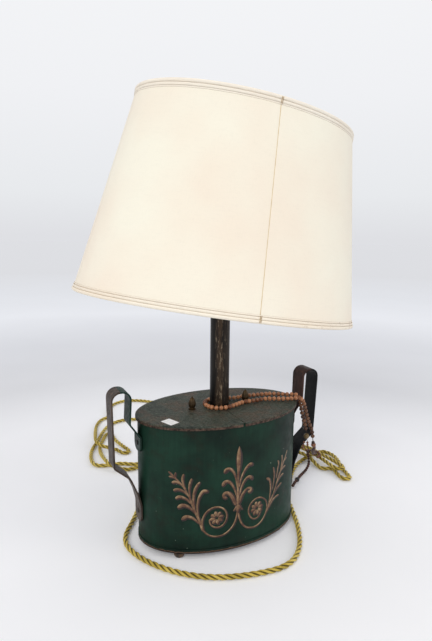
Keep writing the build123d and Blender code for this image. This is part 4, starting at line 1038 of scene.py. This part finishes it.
bottom_binding = binding(
    "bottom_binding", [(1.6, -0.3, 2.4, 0.9, -1), (5.7, 0.2, 1.9, 0.6, 0), (8.7, 0.1, 1.1, 0.5, 0)],
    "shade_trim_bottom"
)
top_binding = binding(
    "top_binding",
    [(SHADE_HEIGHT - 1.6, -0.3, 2.6, 0.9, 1), (SHADE_HEIGHT - 6.0, 0.2, 2.0, 0.6, 0),
     (SHADE_HEIGHT - 9.0, 0.1, 1.0, 0.5, 0)], "shade_trim_top"
)

# %% The seam
SEAM_TURN = math.radians(-91.9)
SEAM_HALF = 0.42 * MM           # half the width of the tan line, glue and painted shadow
bpy.ops.mesh.primitive_grid_add(x_subdivisions=6, y_subdivisions=48, size=2)
seam = bpy.context.object
seam.name = "shade_seam"
for corner in seam.data.vertices:
    height = SHADE_HEIGHT / 2 + corner.co.y * (SHADE_HEIGHT / 2 - 10)
    crown = 0.22 * (1 - corner.co.x ** 2)
    long, wide, up = shade_oval(height, 0.12 + crown)
    turn = SEAM_TURN + corner.co.x * SEAM_HALF / long
    corner.co = (long * math.cos(turn), wide * math.sin(turn), up)
seam.data.transform(tilt)
solid = seam.modifiers.new("glue_and_shadow", "SOLIDIFY")
solid.thickness = 0.15 * MM
bpy.ops.object.modifier_apply(modifier="glue_and_shadow")
outwards(seam)
bpy.ops.object.shade_smooth()
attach(seam, "shade")

# %% The stitches that close each binding at the seam
stitches = []
for start, end in ((0.4, 9.2), (SHADE_HEIGHT - 9.6, SHADE_HEIGHT - 0.6)):
    for lean in (-0.9, 0.7):
        path = []
        for share in np.linspace(0, 1, 13):
            height = start + (end - start) * share
            near_edge = min(height, SHADE_HEIGHT - height)
            long, wide, up = shade_oval(height, 2.35 if near_edge < 4.5 else 1.75)
            turn = SEAM_TURN + (lean + share * 0.8) * MM / long
            path.append(tilt @ Vector((long * math.cos(turn), wide * math.sin(turn), up)))
        path = np.array([spot[:] for spot in path])
        stitch = wound("stitch_" + str(len(stitches)), path, 0.32 * MM, sides=6)
        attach(stitch, "shade")
        stitches.append(stitch)
print(len(stitches), "stitches")

# %% Cream cloth and ribbon
def cream(name, ivory, rose, thread_mm, depth, stained=False, folded=False):
    """Fine cream cloth. It may be stained on its right side, and darker in its folds."""
    made, add, shader, where = finish(name, 0.82, Sheen_Weight=0.15, Sheen_Roughness=0.5)
    flat = add("Mapping", where, Rotation=(0, -LEAN, 0))
    drift = mottle(add, where, 170, 3, 0.5, (0.38, rose), (0.62, ivory))
    weft = add("TexNoise", add("Mapping", flat, Scale=(1 / 14, 1 / 14, 1)), 1000 / thread_mm, 2, 0.5)
    warp = add("TexNoise", add("Mapping", flat, Scale=(1, 1, 1 / 22)), 1000 / thread_mm, 2, 0.5)
    weave = add("Math", weft, warp, operation="ADD")
    slub = add("ValToRGB", weave, stops=[(0.75, 0.975), (1.25, 1.0)])
    cloth = add("Mix", 1.0, drift, slub, **TIMES)
    if stained:
        spots = mottle(add, where, 8, 5, 0.75, (0.55, 0.0), (0.66, 0.7), stretch=(3, 1, 1))
        towards = add("SeparateXYZ", where).outputs
        right = add(
            "ValToRGB", add("Math", towards[0], 6.0, operation="MULTIPLY"), stops=[(0.0, 0.08), (0.5, 1.0)]
        )
        share = add("Math", spots, right, operation="MULTIPLY")
        cloth = add("Mix", share, cloth, "8A6A45", **TINT)
    if folded:
        # darker in the folds beside each roll, by their depth
        inwards = add("Attribute", attribute_name="fold_depth").outputs["Fac"]
        cloth = add(
            "Mix", add("ValToRGB", inwards, stops=[(0.4, 0.0), (0.8, 0.9)]), cloth, "A08A6C", **TINT
        )
    fill(shader, Base_Color=cloth)
    fill(shader, Normal=add("Bump", Height=weave, Distance=depth * MM, Strength=0.35))
    return made


shade_cloth = cream("cream_cloth_card", "FDF9E8", "FBF0DE", 0.9, 0.05)
ribbon = cream("cream_ribbon_binding", "FCF5E5", "F8ECD9", 0.7, 0.12, True, True)
wear(shade_cloth, "shade_cover")
wear(ribbon, bottom_binding)
wear(cream("cream_ribbon_top", "FCF6E8", "F9EEDD", 0.7, 0.12, folded=True), top_binding)
# the tan line is partly old glue and partly the painted shadow of the card's overlapping edge
glue_and_shadow, add, shader, where = finish("glue_and_shadow_line", 0.6)
fill(shader, Base_Color=mottle(add, where, 12, 4, 0.55, (0.35, "D8BE90"), (0.65, "EAD6B0")))
wear(glue_and_shadow, seam)
tan_thread, add, shader, where = finish("tan_sewing_thread", 0.7, Sheen_Weight=0.2)
fill(shader, Base_Color=mottle(add, where, 1.2, 3, 0.55, (0.35, "94774A"), (0.65, "C9AE80")))
for stitch in stitches:
    wear(tan_thread, stitch)
